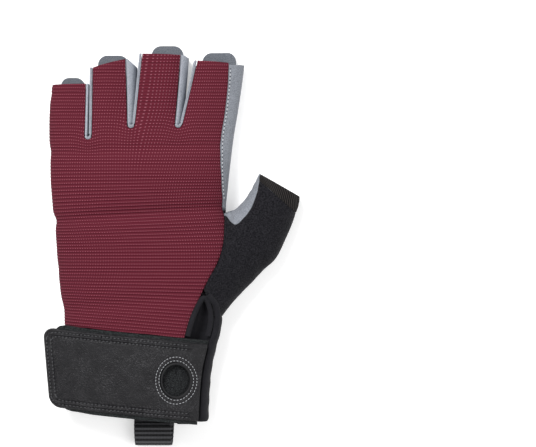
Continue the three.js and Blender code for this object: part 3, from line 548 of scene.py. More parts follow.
def napped(name, painted_brightness):
    """Grey suede with a short nap, its colours scaled lighter or darker as painted light or shade for its
    piece.
    """
    finish = Finish(name, 0.95, sheen=0.1, specular=0.1)
    speckle = finish.noise(0.55, detail=2)
    cloud = finish.noise(11)
    nap = finish.noise(1.6, stretch=(1, 0.35, 1))
    dark, light, worn, raised = (tuple(painted_brightness * c for c in colour) for colour in (
        (0.17, 0.184, 0.21), (0.3, 0.318, 0.354), (0.19, 0.204, 0.234), (0.35, 0.368, 0.41)))
    tint = finish.blend(speckle.between(0.32, 0.68), dark, light)
    tint = finish.blend((cloud - 0.3) * 0.45, tint, worn)
    finish.colour(nap.between(0.35, 0.75) * 0.3, tint, raised)
    finish.bump(speckle * 0.6 + nap * 0.4, 0.22)
    return finish


def twisted(name, dark, light, roughness, sheen=0.0, specular=0.3, ply_mm=0.4):
    """Sewing thread, mottled by its twist."""
    finish = Finish(name, roughness, sheen, specular)
    finish.colour(finish.noise(ply_mm), dark, light)
    return finish


# The palm's suede is painted darker: painted shade for its faces that turn sideways from the light.
suede = napped("grey napped suede", 0.74)
thread = twisted("grey sewing thread", (0.3, 0.32, 0.34), (0.5, 0.52, 0.54), 0.7, sheen=0.2, ply_mm=0.3)


def curve_through(points, step, closed=False):
    """Even points along a smooth curve through the given ones."""
    points = np.asarray(points, float)
    count = len(points)
    runs = []
    for i in range(count if closed else count - 1):
        index = [i - 1, i, i + 1, i + 2]
        a, b, c, d = (points[k % count] if closed else points[min(max(k, 0), count - 1)] for k in index)
        t = np.linspace(0, 1, 40, endpoint=False)[:, None]
        square, cube = 2 * a - 5 * b + 4 * c - d, 3 * b - a - 3 * c + d
        runs.append(0.5 * (2 * b + (c - a) * t + square * t**2 + cube * t**3))
    line = np.concatenate([*runs, points[:1] if closed else points[-1:]])
    length = run_length(line, 0)
    at = np.linspace(0, length[-1], max(2, round(length[-1] / step) + 1))
    return np.stack([np.interp(at, length, line[:, k]) for k in range(line.shape[1])], 1)


def tube_faces(rings, sides, base=0):
    """Faces of a tube made of rings of points, closed at both ends."""
    faces, last = [], base + (rings - 1) * sides
    for start in range(base, last, sides):
        for k in range(sides):
            here, beside = start + k, start + (k + 1) % sides
            faces.append([here, beside, beside + sides, here + sides])
    return [*faces, [base + k for k in reversed(range(sides))], [last + k for k in range(sides)]]


STITCH_SIDES = 6
STITCH_SHAPE = ((-0.5, 0.35), (-0.3, 0.9), (0, 1.05), (0.3, 0.9), (0.5, 0.35))  # place along it, thickness


def run_of_stitches(points, outs, length, radius):
    """Capsules between successive points, each pulled down into the cloth at its ends: points and faces."""
    middle, along = (points[1:] + points[:-1]) / 2, unit(points[1:] - points[:-1])
    side = unit(np.cross((outs[1:] + outs[:-1]) / 2, along))
    out = np.cross(along, side)
    verts, faces = [], []
    for m, a, s, o in zip(middle, along, side, out):
        faces += tube_faces(len(STITCH_SHAPE), STITCH_SIDES, len(verts))
        for place, size in STITCH_SHAPE:
            for k in range(STITCH_SIDES):
                turn = k * 2 * math.pi / STITCH_SIDES
                round_it = (s * math.cos(turn) + o * math.sin(turn)) * radius * size
                verts.append(m + a * length * place + round_it - o * radius * 2.2 * place * place)
    return verts, faces


def stitches(name, lines, length, radius, material):
    """Each line is a pair of points, a stitch apart, and the ways out of the cloth at them."""
    verts, faces = [], []
    for points, outs in lines:
        new, rings = run_of_stitches(points, outs, length, radius)
        faces += [[v + len(verts) for v in ring] for ring in rings]
        verts += new
    verts = np.asarray(verts) + ORIGIN
    return finish_piece(name, verts, faces, verts[:, :2], material, [])


def palm_angle(y):
    """The palm's edge at the thumb's side: under the hand, then up to the back beside the index finger."""
    at = y / HAND
    above = back_edge(y) - seam_angle(y)
    x = mix(0.24, 0.41, smooth(at, BAND_TOP, 0.4)) * PALM
    return mix(under_angle(x, y) - 2 * math.pi, above, smooth(at, CROTCH - 0.035, CROTCH + 0.004))


def on_skin(xy, lift):
    """Points on the underside at plan places, and the way out of it there."""
    x, y = xy[:, 0], xy[:, 1]
    angle = under_angle(x, y)
    out = normals(skin, angle, y)
    return skin(angle, y) + out * lift, out


def distance_to(lines, x, y):
    """Distance in plan to the nearest point of any of the lines."""
    away = np.full(np.shape(x), 1.0)
    for line in lines:
        for point in line:
            away = np.minimum(away, (x - point[0]) ** 2 + (y - point[1]) ** 2)
    return np.sqrt(away)


patch_outline = curve_through([(x * PALM, y * HAND) for x, y in WEB_PATCH], 1.0 * MM, closed=True)
quilt_lines = [curve_through([(x * MM, y * MM) for x, y in line], QUILT_PITCH) for line in QUILTING.values()]


def inside_patch(x, y):
    """Distance into the patch's outline, negative outside it."""
    ring = patch_outline[:-1]
    inside = np.zeros(np.shape(x), bool)
    for a, b in zip(ring, np.roll(ring, -1, axis=0)):
        crosses = (a[1] > y) != (b[1] > y)
        inside ^= crosses & (x < (b[0] - a[0]) * (y - a[1]) / (b[1] - a[1] + 1e-12) + a[0])
    away = distance_to([ring], x, y)
    return np.where(inside, away, -away)


def palm_relief(p, u, v, angle, y, t, finger):
    """Sunk along the sewn lines, cut back under the web patch, and slightly wrinkled below."""
    x = p[..., 0]
    lines = distance_to(quilt_lines, x, y)
    lift = -0.75 * MM * bell(lines, 1.5 * MM) - 0.25 * MM * bell(lines, 5 * MM)
    lift = lift - (1.35 * MM + lift) * smooth(inside_patch(x, y), -0.7 * MM, 0.1 * MM)
    under = np.minimum(1, np.abs(section(y)[4] - p[..., 2]) / (6 * MM))
    rng = np.random.default_rng(3)
    for _ in range(16):
        x0, y0 = rng.uniform(-42, 45) * MM, rng.uniform(62, 188) * MM
        dx, dy = x - x0, y - y0 - rng.uniform(-0.4, 0.4) * (x - x0)
        lift = lift - rng.uniform(0.1, 0.3) * MM * under * bell(dx, 11 * MM) * bell(dy, 2.6 * MM)
    return lift


def plain(surface):
    """A surface that ignores a column's place across and finger."""
    return lambda a, b, *rest: surface(a, b)


def palm_side(edge, y):
    return palm_angle(y) + 2 * math.pi if edge else LITTLE_SEAM + 2 * seam_angle(y)


palm_columns = finger_columns(UNDER, [BAND_TOP * HAND + SEAM_GAP] * 5, palm_side, under_angle, 24, 3,
                              body_rows=100, finger_rows=44)
sheet("palm", plain(skin), palm_columns, 0, PALM_CLOTH, suede.material, ["palm_panel"],
      relief=palm_relief)
stitches("palm_quilting", [on_skin(line, -0.6 * MM) for line in quilt_lines], 1.9 * MM, 0.2 * MM,
         thread.material)

# Web patch: a second layer of the palm's suede over the web of the thumb, where a rope rubs. It is cut with
# round corners, laid flush into the palm, and sewn down along its edge.
patch_centre = patch_outline[:-1].mean(0)
reach = np.linspace(0.02, 0.985, 26)[:, None, None]
patch_plan = (patch_centre + reach * (patch_outline - patch_centre)).transpose(1, 0, 2)
patch_x, patch_y = patch_plan[..., 0], patch_plan[..., 1]


def patch_relief(p, u, v, angle, y):
    return -0.35 * MM * bell(inside_patch(p[..., 0], y) - 2.2 * MM, 0.8 * MM)


sheet("thumb_web_patch", skin, [(under_angle(patch_x, patch_y), patch_y)], 0, 1.05 * MM, suede.material,
      ["web_patch"], relief=patch_relief)
seam = curve_through(patch_centre + 0.87 * (patch_outline - patch_centre), QUILT_PITCH)
stitches("web_patch_seam", [on_skin(seam, -0.25 * MM)], 1.9 * MM, 0.2 * MM, thread.material)

# Index seam: two plies of the palm's suede sewn flat against the back, with one line of stitches from the
# thumb's crotch to the hem. Pale stitches show between dark capsules that paint the shade in the needle
# holes.
SIDE_INSET, SIDE_PITCH = 1.5 * MM, 2.1 * MM  # its distance below the back's edge, and its stitches' pitch
side_y = np.arange(121 * MM, 194 * MM, SIDE_PITCH)


def on_side(y):
    """Points of the seam's line, and the way out of the glove's side there."""
    angle = back_edge(y) - seam_angle(y) - SIDE_INSET / (section(y)[1] * 0.8)
    out = normals(skin, angle, y)
    return skin(angle, y) + out * 0.08 * MM, out


# The dark capsules between the pale stitches are painted shade of the needle holes, not thread.
needle_hole_shade = twisted("painted shade of the needle holes", (0.02, 0.021, 0.025), (0.04, 0.042, 0.048), 0.9, specular=0.1)
for name, start, length, finish in (("seam", 0, 1.3 * MM, thread),
                                    ("holes", SIDE_PITCH / 2, 0.6 * MM, needle_hole_shade)):
    stitches(f"index_side_{name}", [on_side(side_y + start)], length, 0.33 * MM, finish.material)

# Gussets: one suede wall down a finger, round the bottom of the slot and up the next finger. Its upper edge
# is turned and stands a little out of the back.
GUSSET = 1.3 * MM
SLOT_BEND = 0.3  # share of a gusset's length that goes round the bottom of its slot
# The gussets' suede is painted lighter: painted light on walls that stand steep in their slots and get little
# light.
wall_suede = napped("grey suede of the gussets, painted lighter", 1.25)


def slot_turn(u):
    """The way out of the slot, from its left side round its bottom to its right, at a share of the length."""
    return -math.pi / 2 + np.clip((u - 0.5) / SLOT_BEND, -0.5, 0.5) * math.pi


def gusset_line(side, i, inset, u):
    """Plan places of a gusset's edge, an inset away from the slot's side."""
    slot, radius, turn = SLOTS[i], side["radius"] - inset, slot_turn(u)
    centre_y = slot["along"] * HAND + side["radius"]
    x, y = slot[side["x_key"]] * PALM + radius * np.cos(turn), centre_y + radius * np.sin(turn)
    straight = (np.abs(u - 0.5) - SLOT_BEND / 2) / (0.5 - SLOT_BEND / 2)
    arc = (u - 0.5) / SLOT_BEND
    for f, edge, way, part in ((i, 1, 1, arc < -0.5), (i + 1, 0, -1, arc > 0.5)):
        run = mix(centre_y, FINGERS[f][side["hems"][edge]] * HAND, straight)
        x = np.where(part, slot_edge(f, edge, run, **side) + way * inset, x)
        y = np.where(part, run, y)
    return x, y


def gusset_surface(i):
    """The wall leans into its slot near the back before it drops, and swells so that both sides nearly
    meet."""
    def surface(v, u):
        top_x, top_y = gusset_line(BACK, i, SEAM_GAP + GUSSET / 2, u)
        low_x, low_y = gusset_line(UNDER, i, -GUSSET / 2, u)
        in_x, in_y = -np.cos(slot_turn(u)), -np.sin(slot_turn(u))
        lean = (low_x - top_x) * in_x + (low_y - top_y) * in_y
        fall = np.maximum(v, 0) ** (1 + 3 * smooth(lean, 0, 2 * MM))
        swell = 0.6 * MM * np.sqrt(np.clip(4 * v * (1 - v), 0, None))
        high = back_skin(top_angle(top_x, top_y), top_y)[..., 2] - FINGER_CROWN * crown_fade(top_y, SLOTS[i])
        low = skin(under_angle(low_x, low_y), low_y)[..., 2] + PALM_CLOTH + SEAM_GAP
        x, y = mix(low_x, top_x, fall) + in_x * swell, mix(low_y, top_y, fall) + in_y * swell
        return np.stack([x, y, mix(low, high + 0.5 * MM, v)], -1)
    return surface


def gusset_relief(p, u, v, place_v, place_u):
    crumple = 0.18 * MM * np.sin(place_u * 43 + place_v * 5) * np.sin(place_v * math.pi)
    return crumple + 0.16 * MM * bell((1 - place_v) * 17 - 0.9, 0.8) - 0.1 * MM


gusset_u = np.concatenate([np.linspace(0, 0.35, 33, endpoint=False), np.linspace(0.35, 0.65, 24),
                           np.linspace(0.65, 1, 34)[1:]])
gusset_grid = tuple(np.meshgrid(1 - np.linspace(1, 0, 34) ** 1.6, gusset_u, indexing="ij"))
for i, name in enumerate(("little_ring", "ring_middle", "middle_index")):
    sheet(f"finger_gusset_{name}", gusset_surface(i), [gusset_grid], GUSSET / 2, GUSSET / 2,
          wall_suede.material, [f"gusset_{name}"], relief=gusset_relief)

# Pull tabs: a folded strip of darker suede, sewn inside the palm at each fingertip, to pull the glove off by.
# Its round end sticks out past the hem.
tab_suede = Finish("dark grey suede of the tabs", 0.92, sheen=0.1, specular=0.1)
tab_speckle = tab_suede.noise(0.5, detail=2)
tab_suede.colour(tab_speckle.between(0.3, 0.7), (0.085, 0.093, 0.108), (0.155, 0.168, 0.19))
tab_suede.bump(tab_speckle, 0.2)
TAB, TAB_CORNER = 1.5 * MM, 5.2 * MM
TAB_SEWN_IN = 6 * MM  # how much of it is inside the hem


def rounded(u, v, width, length, corner):
    """Plan places over a strip whose far end has round corners: across from -0.5 to 0.5, and along."""
    y = length * v
    into = np.clip((y - (length - corner)) / corner, 0, 1)
    cut = corner * (1 - np.sqrt(np.maximum(0, 1 - into**2)))
    return u * (width - 2 * cut), y


inside = PALM_CLOTH + SEAM_GAP
tab_u, tab_v = np.meshgrid(np.linspace(-0.5, 0.5, 25), np.sin(np.linspace(0, 0.4985 * math.pi, 26)))
for finger, name in zip(FINGERS, ("little", "ring", "middle", "index")):
    left, right = (side * PALM for side in finger["tab"])
    low, length = finger["palm_hem"] * HAND - TAB_SEWN_IN, (12 if name == "little" else 13) * MM
    x, y = rounded(tab_u, tab_v, right - left, length, TAB_CORNER)
    angle = under_angle(x + (left + right) / 2, y + low)
    sheet(f"pull_tab_{name}", skin, [(angle, y + low)], -inside, inside + TAB, tab_suede.material,
          [f"tab_{name}"], relief=lambda p, u, v, a, b: -0.2 * MM * np.ones_like(b))

# Thumb: a suede front towards the fingers and black brushed stretch cloth round the rest, sewn into the
# opening in the hand, with an overlocked band at its mouth.
FOLD_EDGE = {"along": [0.0, 0.073, 0.144, 0.215, 0.262, 0.308, 0.348, 0.36],
             "x": [0.36, 0.366, 0.381, 0.414, 0.438, 0.438, 0.401, 0.385]}
VENT_TOP = 0.348
COLLAR = 0.287  # where the thumb's opening starts, above the fold
THUMB = {  # along the thumb, its sides as shares of the hand, and how far the grey suede goes round it
    "reach": [0, 0.16, 0.36, 0.54, 0.7, 0.86, 1.0],
    "inner_x": [0.52, 0.553, 0.59, 0.625, 0.655, 0.68, 0.701],
    "inner_y": [0.582, 0.577, 0.591, 0.61, 0.636, 0.658, 0.677],
    "outer_x": [0.5, 0.59, 0.7, 0.794, 0.852, 0.899, 0.93],
    "outer_y": [0.287, 0.345, 0.397, 0.444, 0.499, 0.554, 0.614],
    "top": [1.0, 0.83, 0.78, 0.74, 0.71, 0.68, 0.66],
    "grey_top": [0.003, 0.17, 0.19, 0.17, 0.14, 0.08, 0.03],
    "grey_under": [0.8, 0.78, 0.76, 0.75, 0.75, 0.76, 0.78],
}
THUMB_SQUARE = 2.3
THUMB_CLOTH = 1.5 * MM
HEM_PROUD = 0.6 * MM
THUMB_LENGTH = 46 * MM
HEM_WIDTH = 4.6 * MM
HEM = HEM_WIDTH / THUMB_LENGTH
OVER = 0.36  # share of the opening that runs over the hand, and as much under it
THUMB_CROTCH = 0.572  # the opening's end towards the fingers
CLOTH_GAP = 0.002  # between the thumb's two cloths, on each side, as a share of the way round


def thumb_opening(turn):
    """The edge of the hole that the thumb is sewn into, once round: over the hand, then under it."""
    u = turn - np.floor(turn)
    inner, outer = THUMB_CROTCH * HAND, COLLAR * HAND + SEAM_GAP
    y = mix(inner, outer, np.clip(np.minimum(u, 1 - u) / OVER, 0, 1))
    side = np.minimum(y / HAND, FOLD_EDGE["along"][-1])
    top_x = np.maximum(read(BACK_EDGE, "x", y / HAND), read(FOLD_EDGE, "x", side)) * PALM
    above = top_angle(top_x, y) - seam_angle(y)
    below = palm_angle(y) + 2 * seam_angle(y)
    return skin(mix(above, below, np.clip((u - OVER) / (1 - 2 * OVER), 0, 1)), y)


def thumb_surface(v, u):
    """From the opening to the thumb's mouth, and once round it from the side towards the fingers."""
    at = np.maximum(v, THUMB["reach"][1])
    ring = {column: read(THUMB, column, at, "reach") for column in THUMB}
    turn, top = u * 2 * math.pi, ring["top"] * BODY
    level = top * SEAM_LEVEL
    n = np.where(np.sin(turn) >= 0, 2 / THUMB_SQUARE, 2 / UNDER_SQUARE)
    share, up = 0.5 - 0.5 * power(np.cos(turn), n), power(np.sin(turn), n)
    under = np.maximum(HEM_PROUD, level + (level + FLATTENING) * up)
    x = mix(ring["inner_x"], ring["outer_x"], share) * PALM
    y = mix(ring["inner_y"], ring["outer_y"], share) * HAND
    out = np.stack([x, y, np.where(up >= 0, level + (top - level) * up, under)], -1)
    start = np.clip(v / THUMB["reach"][1], 0, 1)[..., None]
    return mix(thumb_opening(u), out, start)


def grey_end(v, above):
    """Where round the thumb its grey front ends, above and under."""
    n = THUMB_SQUARE if above else UNDER_SQUARE
    share = read(THUMB, "grey_top" if above else "grey_under", v, "reach")
    if above:
        share = share * np.minimum(1, v / THUMB["reach"][1]) ** 2 + 0.002
    turn = np.arccos(power(1 - 2 * share, n / 2)) / (2 * math.pi)
    return turn if above else 1 - turn


def thumb_part(grey, low, high, rows, cols):
    """Places over the grey front or over the rest, between two shares of the thumb's length."""
    u, v = np.meshgrid(np.linspace(0, 1, cols), np.linspace(low, high, rows))
    above, under = grey_end(v, True), grey_end(v, False)
    start, end = (under, 1 + above) if grey else (above, under)
    return v, mix(start + CLOTH_GAP, end - CLOTH_GAP, u)


def thumb_relief(p, u, v, place_v, place_u):
    wrinkle = 0
    for low, depth, slant in ((0.3, 0.5, 0.5), (0.52, 0.35, -0.6), (0.12, 0.45, 0.9)):
        wrinkle = wrinkle - depth * MM * bell(place_v - low - slant * (place_u - 0.2), 0.045)
    return wrinkle * np.sin(np.clip(place_v, 0, 1) * math.pi)


fleece = Finish("black brushed stretch cloth", 0.95, sheen=0.06, specular=0.05)
pile = fleece.noise(0.7, detail=4)
loose = fleece.noise(5)
fleece_tint = fleece.blend(pile.between(0.3, 0.75), (0.002, 0.002, 0.003), (0.024, 0.023, 0.027))
fleece.colour(loose * 0.4, fleece_tint, (0.008, 0.008, 0.01))
fleece.bump(pile + loose * 0.3, 0.5)

sheet("thumb_front", thumb_surface, [thumb_part(True, 0, 1, 60, 44)], 0, THUMB_CLOTH, suede.material,
      ["thumb_front"], relief=thumb_relief)
stretch_end = 1 - (HEM_WIDTH + SEAM_GAP) / THUMB_LENGTH
sheet("thumb_back", thumb_surface, [thumb_part(False, 0, stretch_end, 60, 80)], 0, THUMB_CLOTH,
      fleece.material, ["thumb_back"], relief=thumb_relief)

LOCK_PITCH, LOCK_SLANT = 1.7, 0.55  # the overlock's loops of thread: how far apart in mm, and how slanting
overlock = Finish("black overlocked edge", 0.85, sheen=0.05, specular=0.1)
lock_u, lock_v = overlock.cloth_uv()
loops = overlock.wave(lock_u + lock_v * LOCK_SLANT, LOCK_PITCH)
overlock.colour(loops.between(0.25, 0.8), (0.001, 0.001, 0.001), (0.03, 0.025, 0.024))
overlock.bump(loops.between(0, 1) + overlock.noise(0.4) * 0.3, 0.55)


def hem_relief(p, u, v, place_v, place_u):
    off = (place_v - 1 + HEM / 2) / (HEM / 2)
    threads = np.sin((u + v * LOCK_SLANT) / MM * 2 * math.pi / LOCK_PITCH)
    return -0.45 * MM * off**2 + 0.12 * MM * threads - 0.1 * MM


sheet("thumb_hem", thumb_surface, [thumb_part(False, 1 - HEM, 1, 14, 260)], HEM_PROUD, THUMB_CLOTH,
      overlock.material, ["thumb_hem"], relief=hem_relief)

# Cuff: a woven elastic band across the palm side, and a dark loop-pile panel across the back for the strap
# to fasten to. Both are sewn to the body and to the fold at the thumb's side.
FOLD_UNDER = math.radians(-28)  # how far the fold goes round under the hand
BAND_LOW = (0.063, 0.012)  # the cuff's lower edge, at the little finger's side and at the thumb's

elastic = Finish("black woven elastic", 0.8, sheen=0.05, specular=0.15)
e_u, e_v = elastic.cloth_uv()
twill = elastic.wave(e_u + e_v, 1.9)
cords = elastic.wave(e_v, 0.9)
elastic.colour(twill * cords.between(0.1, 0.9), (0.003, 0.003, 0.004), (0.034, 0.033, 0.037))
elastic.bump(twill * 0.7 + cords * 0.3, 0.4)


band_u, band_v = np.meshgrid(np.linspace(0, 1, 100), np.linspace(0, 1, 46))
band_y = mix(mix(BAND_LOW[1], BAND_LOW[0], band_u) * HAND, BAND_TOP * HAND - SEAM_GAP, band_v)
band_start = FOLD_UNDER - seam_angle(band_y)
band_end = LITTLE_SEAM + 2 * seam_angle(band_y) - 2 * math.pi


def band_relief(p, u, v, angle, y):
    pucker = 0.22 * MM * np.sin(p[..., 0] / MM * 0.9) * np.sin((y - 10 * MM) / (45 * MM) * math.pi)
    return pucker - 0.25 * MM


sheet("cuff_elastic", skin, [(mix(band_start, band_end, band_u), band_y)], 1.1 * MM, 0.9 * MM,
      elastic.material, ["cuff_band"], relief=band_relief)

pile_cloth = Finish("black loop pile", 0.95, sheen=0.05, specular=0.05)
curls = pile_cloth.noise(0.45, detail=5)
pile_cloth.colour(curls.between(0.35, 0.7), (0.003, 0.003, 0.004), (0.034, 0.037, 0.038))
pile_cloth.bump(curls, 0.7)


def fold_angle(y):
    return top_angle(read(FOLD_EDGE, "x", y / HAND) * PALM, y)


loop_u, loop_v = np.meshgrid(np.linspace(0, 1, 100), np.linspace(0, 1, 44))
loop_high = wrist_edge(mix(SECTIONS["left"][3], FOLD_EDGE["x"][3], loop_u) * PALM) - SEAM_GAP
loop_y = mix(mix(BAND_LOW[0], BAND_LOW[1], loop_u) * HAND, loop_high, loop_v)
loop_angle = mix(LITTLE_SEAM, fold_angle(loop_y) + seam_angle(loop_y), loop_u)
sheet("loop_pile_panel", skin, [(loop_angle, loop_y)], 0, CLOTH, pile_cloth.material, ["loop_panel"])

# Fold: padded stretch cloth turned over at the thumb's side, which the strap is sewn into. A triangular vent
# opens above it, closed by thin cloth that sinks between the two edges, and its edge is bound.
FOLD_PROUD = 1.6 * MM
VENT_LOW = 0.2
VENT_DEPTH = 5 * MM
fold_cloth = Finish("black smooth stretch cloth", 0.8, sheen=0.03, specular=0.08)
f_u, f_v = fold_cloth.cloth_uv()
knit = fold_cloth.wave(f_u, 0.7) * fold_cloth.wave(f_v, 0.7)
sag = fold_cloth.noise(6)
fold_cloth.colour(knit * 0.5 + sag * 0.4, (0.006, 0.006, 0.008), (0.026, 0.025, 0.029))
fold_cloth.bump(knit, 0.15)

fold_u, fold_v = np.meshgrid(np.linspace(0, 1, 40), np.linspace(0, 1, 70))
fold_y = mix(0, COLLAR * HAND, fold_v)


def fold_relief(p, u, v, angle, y):
    """Rolled over at its edges and ends, lower towards the thumb, and sunk along one sewn line."""
    off, from_top = (fold_u - 0.5) * 2, COLLAR * HAND - y
    roll = -0.9 * MM * np.abs(off) ** 6 - 0.8 * MM * np.exp(-np.minimum(y, from_top) / (0.8 * MM))
    roll = roll - 1.3 * MM * bell(from_top, 4 * MM)
    return roll - 0.45 * MM * bell(fold_u - 0.42, 0.035) + 0.12 * MM * np.sin(y / MM * 0.7)


sheet("strap_fold", skin, [(mix(fold_angle(fold_y), FOLD_UNDER, fold_u), fold_y)], FOLD_PROUD, 1.2 * MM,
      fold_cloth.material, ["strap_fold"], relief=fold_relief)


def vent_edges(y):
    return read(BACK_EDGE, "x", y / HAND) * PALM, read(FOLD_EDGE, "x", y / HAND) * PALM


def vent_surface(y, u):
    v = (y / HAND - VENT_LOW) / (VENT_TOP - VENT_LOW)
    left, right = vent_edges(y)
    point = skin(top_angle(mix(left - 0.8 * MM, right + 0.8 * MM, u), y), y)
    sink = VENT_DEPTH * np.sin(math.pi * np.clip(u, 0, 1)) * np.sqrt(np.clip(1 - v, 0, None))
    point[..., 2] -= (CLOTH + SEAM_GAP) * 1.35 + sink
    return point


def vent_relief(p, u, v, y, place_u):
    return 0.8 * MM * (bell(place_u - 0.34, 0.07) - bell(place_u - 0.6, 0.1)) - 0.4 * MM


vent_grid = np.meshgrid(np.linspace(VENT_LOW, VENT_TOP, 40) * HAND, np.linspace(0, 1, 40), indexing="ij")
sheet("vent_cloth", vent_surface, [tuple(vent_grid)], 0, 1.3 * MM, fold_cloth.material, ["vent_gusset"],
      relief=vent_relief)


def tube(name, path, radius, sides, material, nodes):
    """A round cord along a path, closed at both ends."""
    along = unit(np.gradient(path, axis=0))
    side = unit(np.cross(along, [0, 0, 1.0]))
    up = np.cross(side, along)
    turns = np.arange(sides)[:, None] * 2 * math.pi / sides
    rings = path[:, None] + radius * (side[:, None] * np.cos(turns) + up[:, None] * np.sin(turns))
    uvs = [(turn * radius, at) for at in run_length(path, 0) for turn in turns[:, 0]]
    faces = tube_faces(len(path), sides)
    return finish_piece(name, rings.reshape(-1, 3) + ORIGIN, faces, uvs, material, nodes)


PIPING = 1.4 * MM
piping_off = PIPING + SEAM_GAP
piping_top, piping_low = VENT_TOP * HAND - piping_off * 2.6, WRIST_EDGE[1] * HAND + 1.0 * MM
rises = [(0, 0), (0, 0.33), (0, 0.67), (0, 1), (0.5, 1), (1, 1), (1, 0.67), (1, 0.33), (1, 0)]
piping_points = []
for side, rise in rises:
    y = mix(piping_low, piping_top, rise)
    left, right = (float(edge) + off for edge, off in zip(vent_edges(y), (piping_off, -piping_off)))
    bulge = (right - left) / 2 if side == 0.5 else 0
    x, y = np.array(mix(left, right, side)), np.array(y + bulge)
    piping_points.append(skin(top_angle(x, y), y) - [0, 0, 0.5 * MM])
tube("vent_binding", curve_through(piping_points, 0.6 * MM), PIPING, 16, fold_cloth.material, ["vent_piping"])
rim_y = np.linspace(46, 69, 12) * MM
rim_x = read(FOLD_EDGE, "x", rim_y / HAND) * PALM + 1.9 * MM * smooth(rim_y, 71 * MM, 64 * MM)
rim_angle = top_angle(rim_x, rim_y)
rim = skin(rim_angle, rim_y) + normals(skin, rim_angle, rim_y) * 0.3 * MM
tube("fold_rim", curve_through(rim, 0.6 * MM), 1.7 * MM, 16, fold_cloth.material, [])

# Strap: black grained leather over hook tape, sewn into the fold at the thumb's side. It lies slanting
# across the back of the wrist, its free end past the wrist, with two rows of black stitches round its edge.
STRAP_MIDDLE = 25 * MM  # height of its middle line along the hand, at the hand's middle
STRAP_FALL = math.tan(math.radians(5.8))  # how that line falls towards the thumb
STRAP_WIDTH = 43 * MM
STRAP_REACH = 48.4 * MM  # from the hand's middle to its free end
STRAP_SLANT = 0.086  # of its free end
STRAP_CORNER = 6 * MM
STRAP_LEATHER = 2.4 * MM
STRAP_LEAVES = 0.62  # where it leaves the wrist, as a share of the half width
STRAP_ROWS, STITCH_PITCH = (2.0, 4.2), 2.0  # rows of stitches, mm from its edge, and their pitch, mm
FOLD_X = 37 * MM  # about where it meets the fold
EYELET = np.array([21.6, 22.9]) * MM
EYELET_INNER, EYELET_WALL = 7 * MM, 1.1 * MM
OVAL = np.array([1, 1.2])  # the hole is higher than it is wide
CLIP_ROWS, CLIP_PITCH = (8.9, 10.6), 1.7  # radii of the stitches round the hole, mm, and their pitch, mm


def strap_surface(y, x):
    """The strap follows the hand, and leaves it on a soft line past the wrist's side."""
    held = np.clip(y, 0, WRIST_EDGE[0] * HAND)
    centre, half = section(held)[:2]
    leave = centre - STRAP_LEAVES * half

    def height(at):
        return skin(top_angle(at, y), held)[..., 2]

    past = np.maximum(leave - x, 0)
    slope = (height(leave + MM) - height(leave)) / MM
    z = np.where(x >= leave, height(x), height(leave) - slope * past * (1 + past / MM * 0.012))
    return np.stack([x + 0 * y, y + 0 * x, z], -1)


def strap_end(y):
    return read(FOLD_EDGE, "x", np.maximum(0, y / HAND)) * PALM - SEAM_GAP - FOLD_PROUD


def strap_grid(rows=96, cols=190):
    """Places over the strap, closer together at its edges, with its free corners rounded."""
    ease = 0.5 - 0.5 * np.cos(np.linspace(0, math.pi, rows))
    across = mix(np.linspace(-0.5, 0.5, rows), ease - 0.5, 0.45)[:, None] * STRAP_WIDTH
    into = np.clip((np.abs(across) - (STRAP_WIDTH / 2 - STRAP_CORNER)) / STRAP_CORNER, 0, 1)
    start = -STRAP_REACH - STRAP_SLANT * across + STRAP_CORNER * (1 - np.sqrt(np.maximum(0, 1 - into**2)))
    u = np.linspace(0, 1, cols)[None, :]
    x = mix(start, strap_end(STRAP_MIDDLE - STRAP_FALL * FOLD_X + across), u)
    return STRAP_MIDDLE - STRAP_FALL * x + across, x, across, start


backing = Finish("black hook tape backing", 0.85, specular=0.1)
weave = backing.noise(0.6, detail=4)
backing.colour(weave.between(0.35, 0.7), (0.005, 0.006, 0.006), (0.03, 0.033, 0.034))
backing.bump(weave, 0.3)
strap_y, strap_x, strap_across, strap_start = strap_grid(40, 120)
wide_y = strap_y + 1.7 * MM * np.sin(strap_across / STRAP_WIDTH * math.pi)
short_x = strap_x + 6 * MM * smooth(strap_x, strap_start + 20 * MM, strap_start)
strap_backing = sheet("strap_backing", strap_surface, [(wide_y, short_x)], SEAM_GAP + 1.1 * MM, -SEAM_GAP,
                      backing.material, [])
strap_y, strap_x, strap_across, strap_start = strap_grid()
to_long_edge = STRAP_WIDTH / 2 - np.abs(strap_across) + 0 * strap_x
to_end = strap_x - strap_start
to_edge = np.minimum(to_long_edge, to_end)


def strap_relief(p, u, v, y, x):
    """Rounded edges, needle holes along the stitch rows, and creases where it bends round the wrist."""
    lift = -1.3 * MM * np.exp(-to_edge / (0.55 * MM))
    holes = 0.5 + 0.5 * np.cos(np.where(to_long_edge < to_end, x, y) / (STITCH_PITCH * MM) * 2 * math.pi)
    sewn = smooth(x, 32 * MM, 27 * MM)
    for row in STRAP_ROWS:
        lift -= (0.2 + 0.45 * holes) * sewn * MM * bell(to_edge - row * MM, 0.55 * MM)
    lift += 0.3 * sewn * MM * bell(to_edge - sum(STRAP_ROWS) / 2 * MM, 0.6 * MM)
    ring = np.hypot((x - EYELET[0]) / OVAL[0], (y - EYELET[1]) / OVAL[1])
    for radius in CLIP_ROWS:
        lift -= 0.2 * MM * bell(ring - radius * MM, 0.5 * MM)
    rng = np.random.default_rng(11)
    for _ in range(14):
        x0, y0 = rng.uniform(-46, 30) * MM, rng.uniform(4, 48) * MM
        dx, dy = x - x0 + rng.uniform(-0.3, 0.3) * (y - y0), y - y0
        lift -= rng.uniform(0.04, 0.12) * MM * bell(dx, 1.6 * MM) * bell(dy, 8 * MM)
    return lift


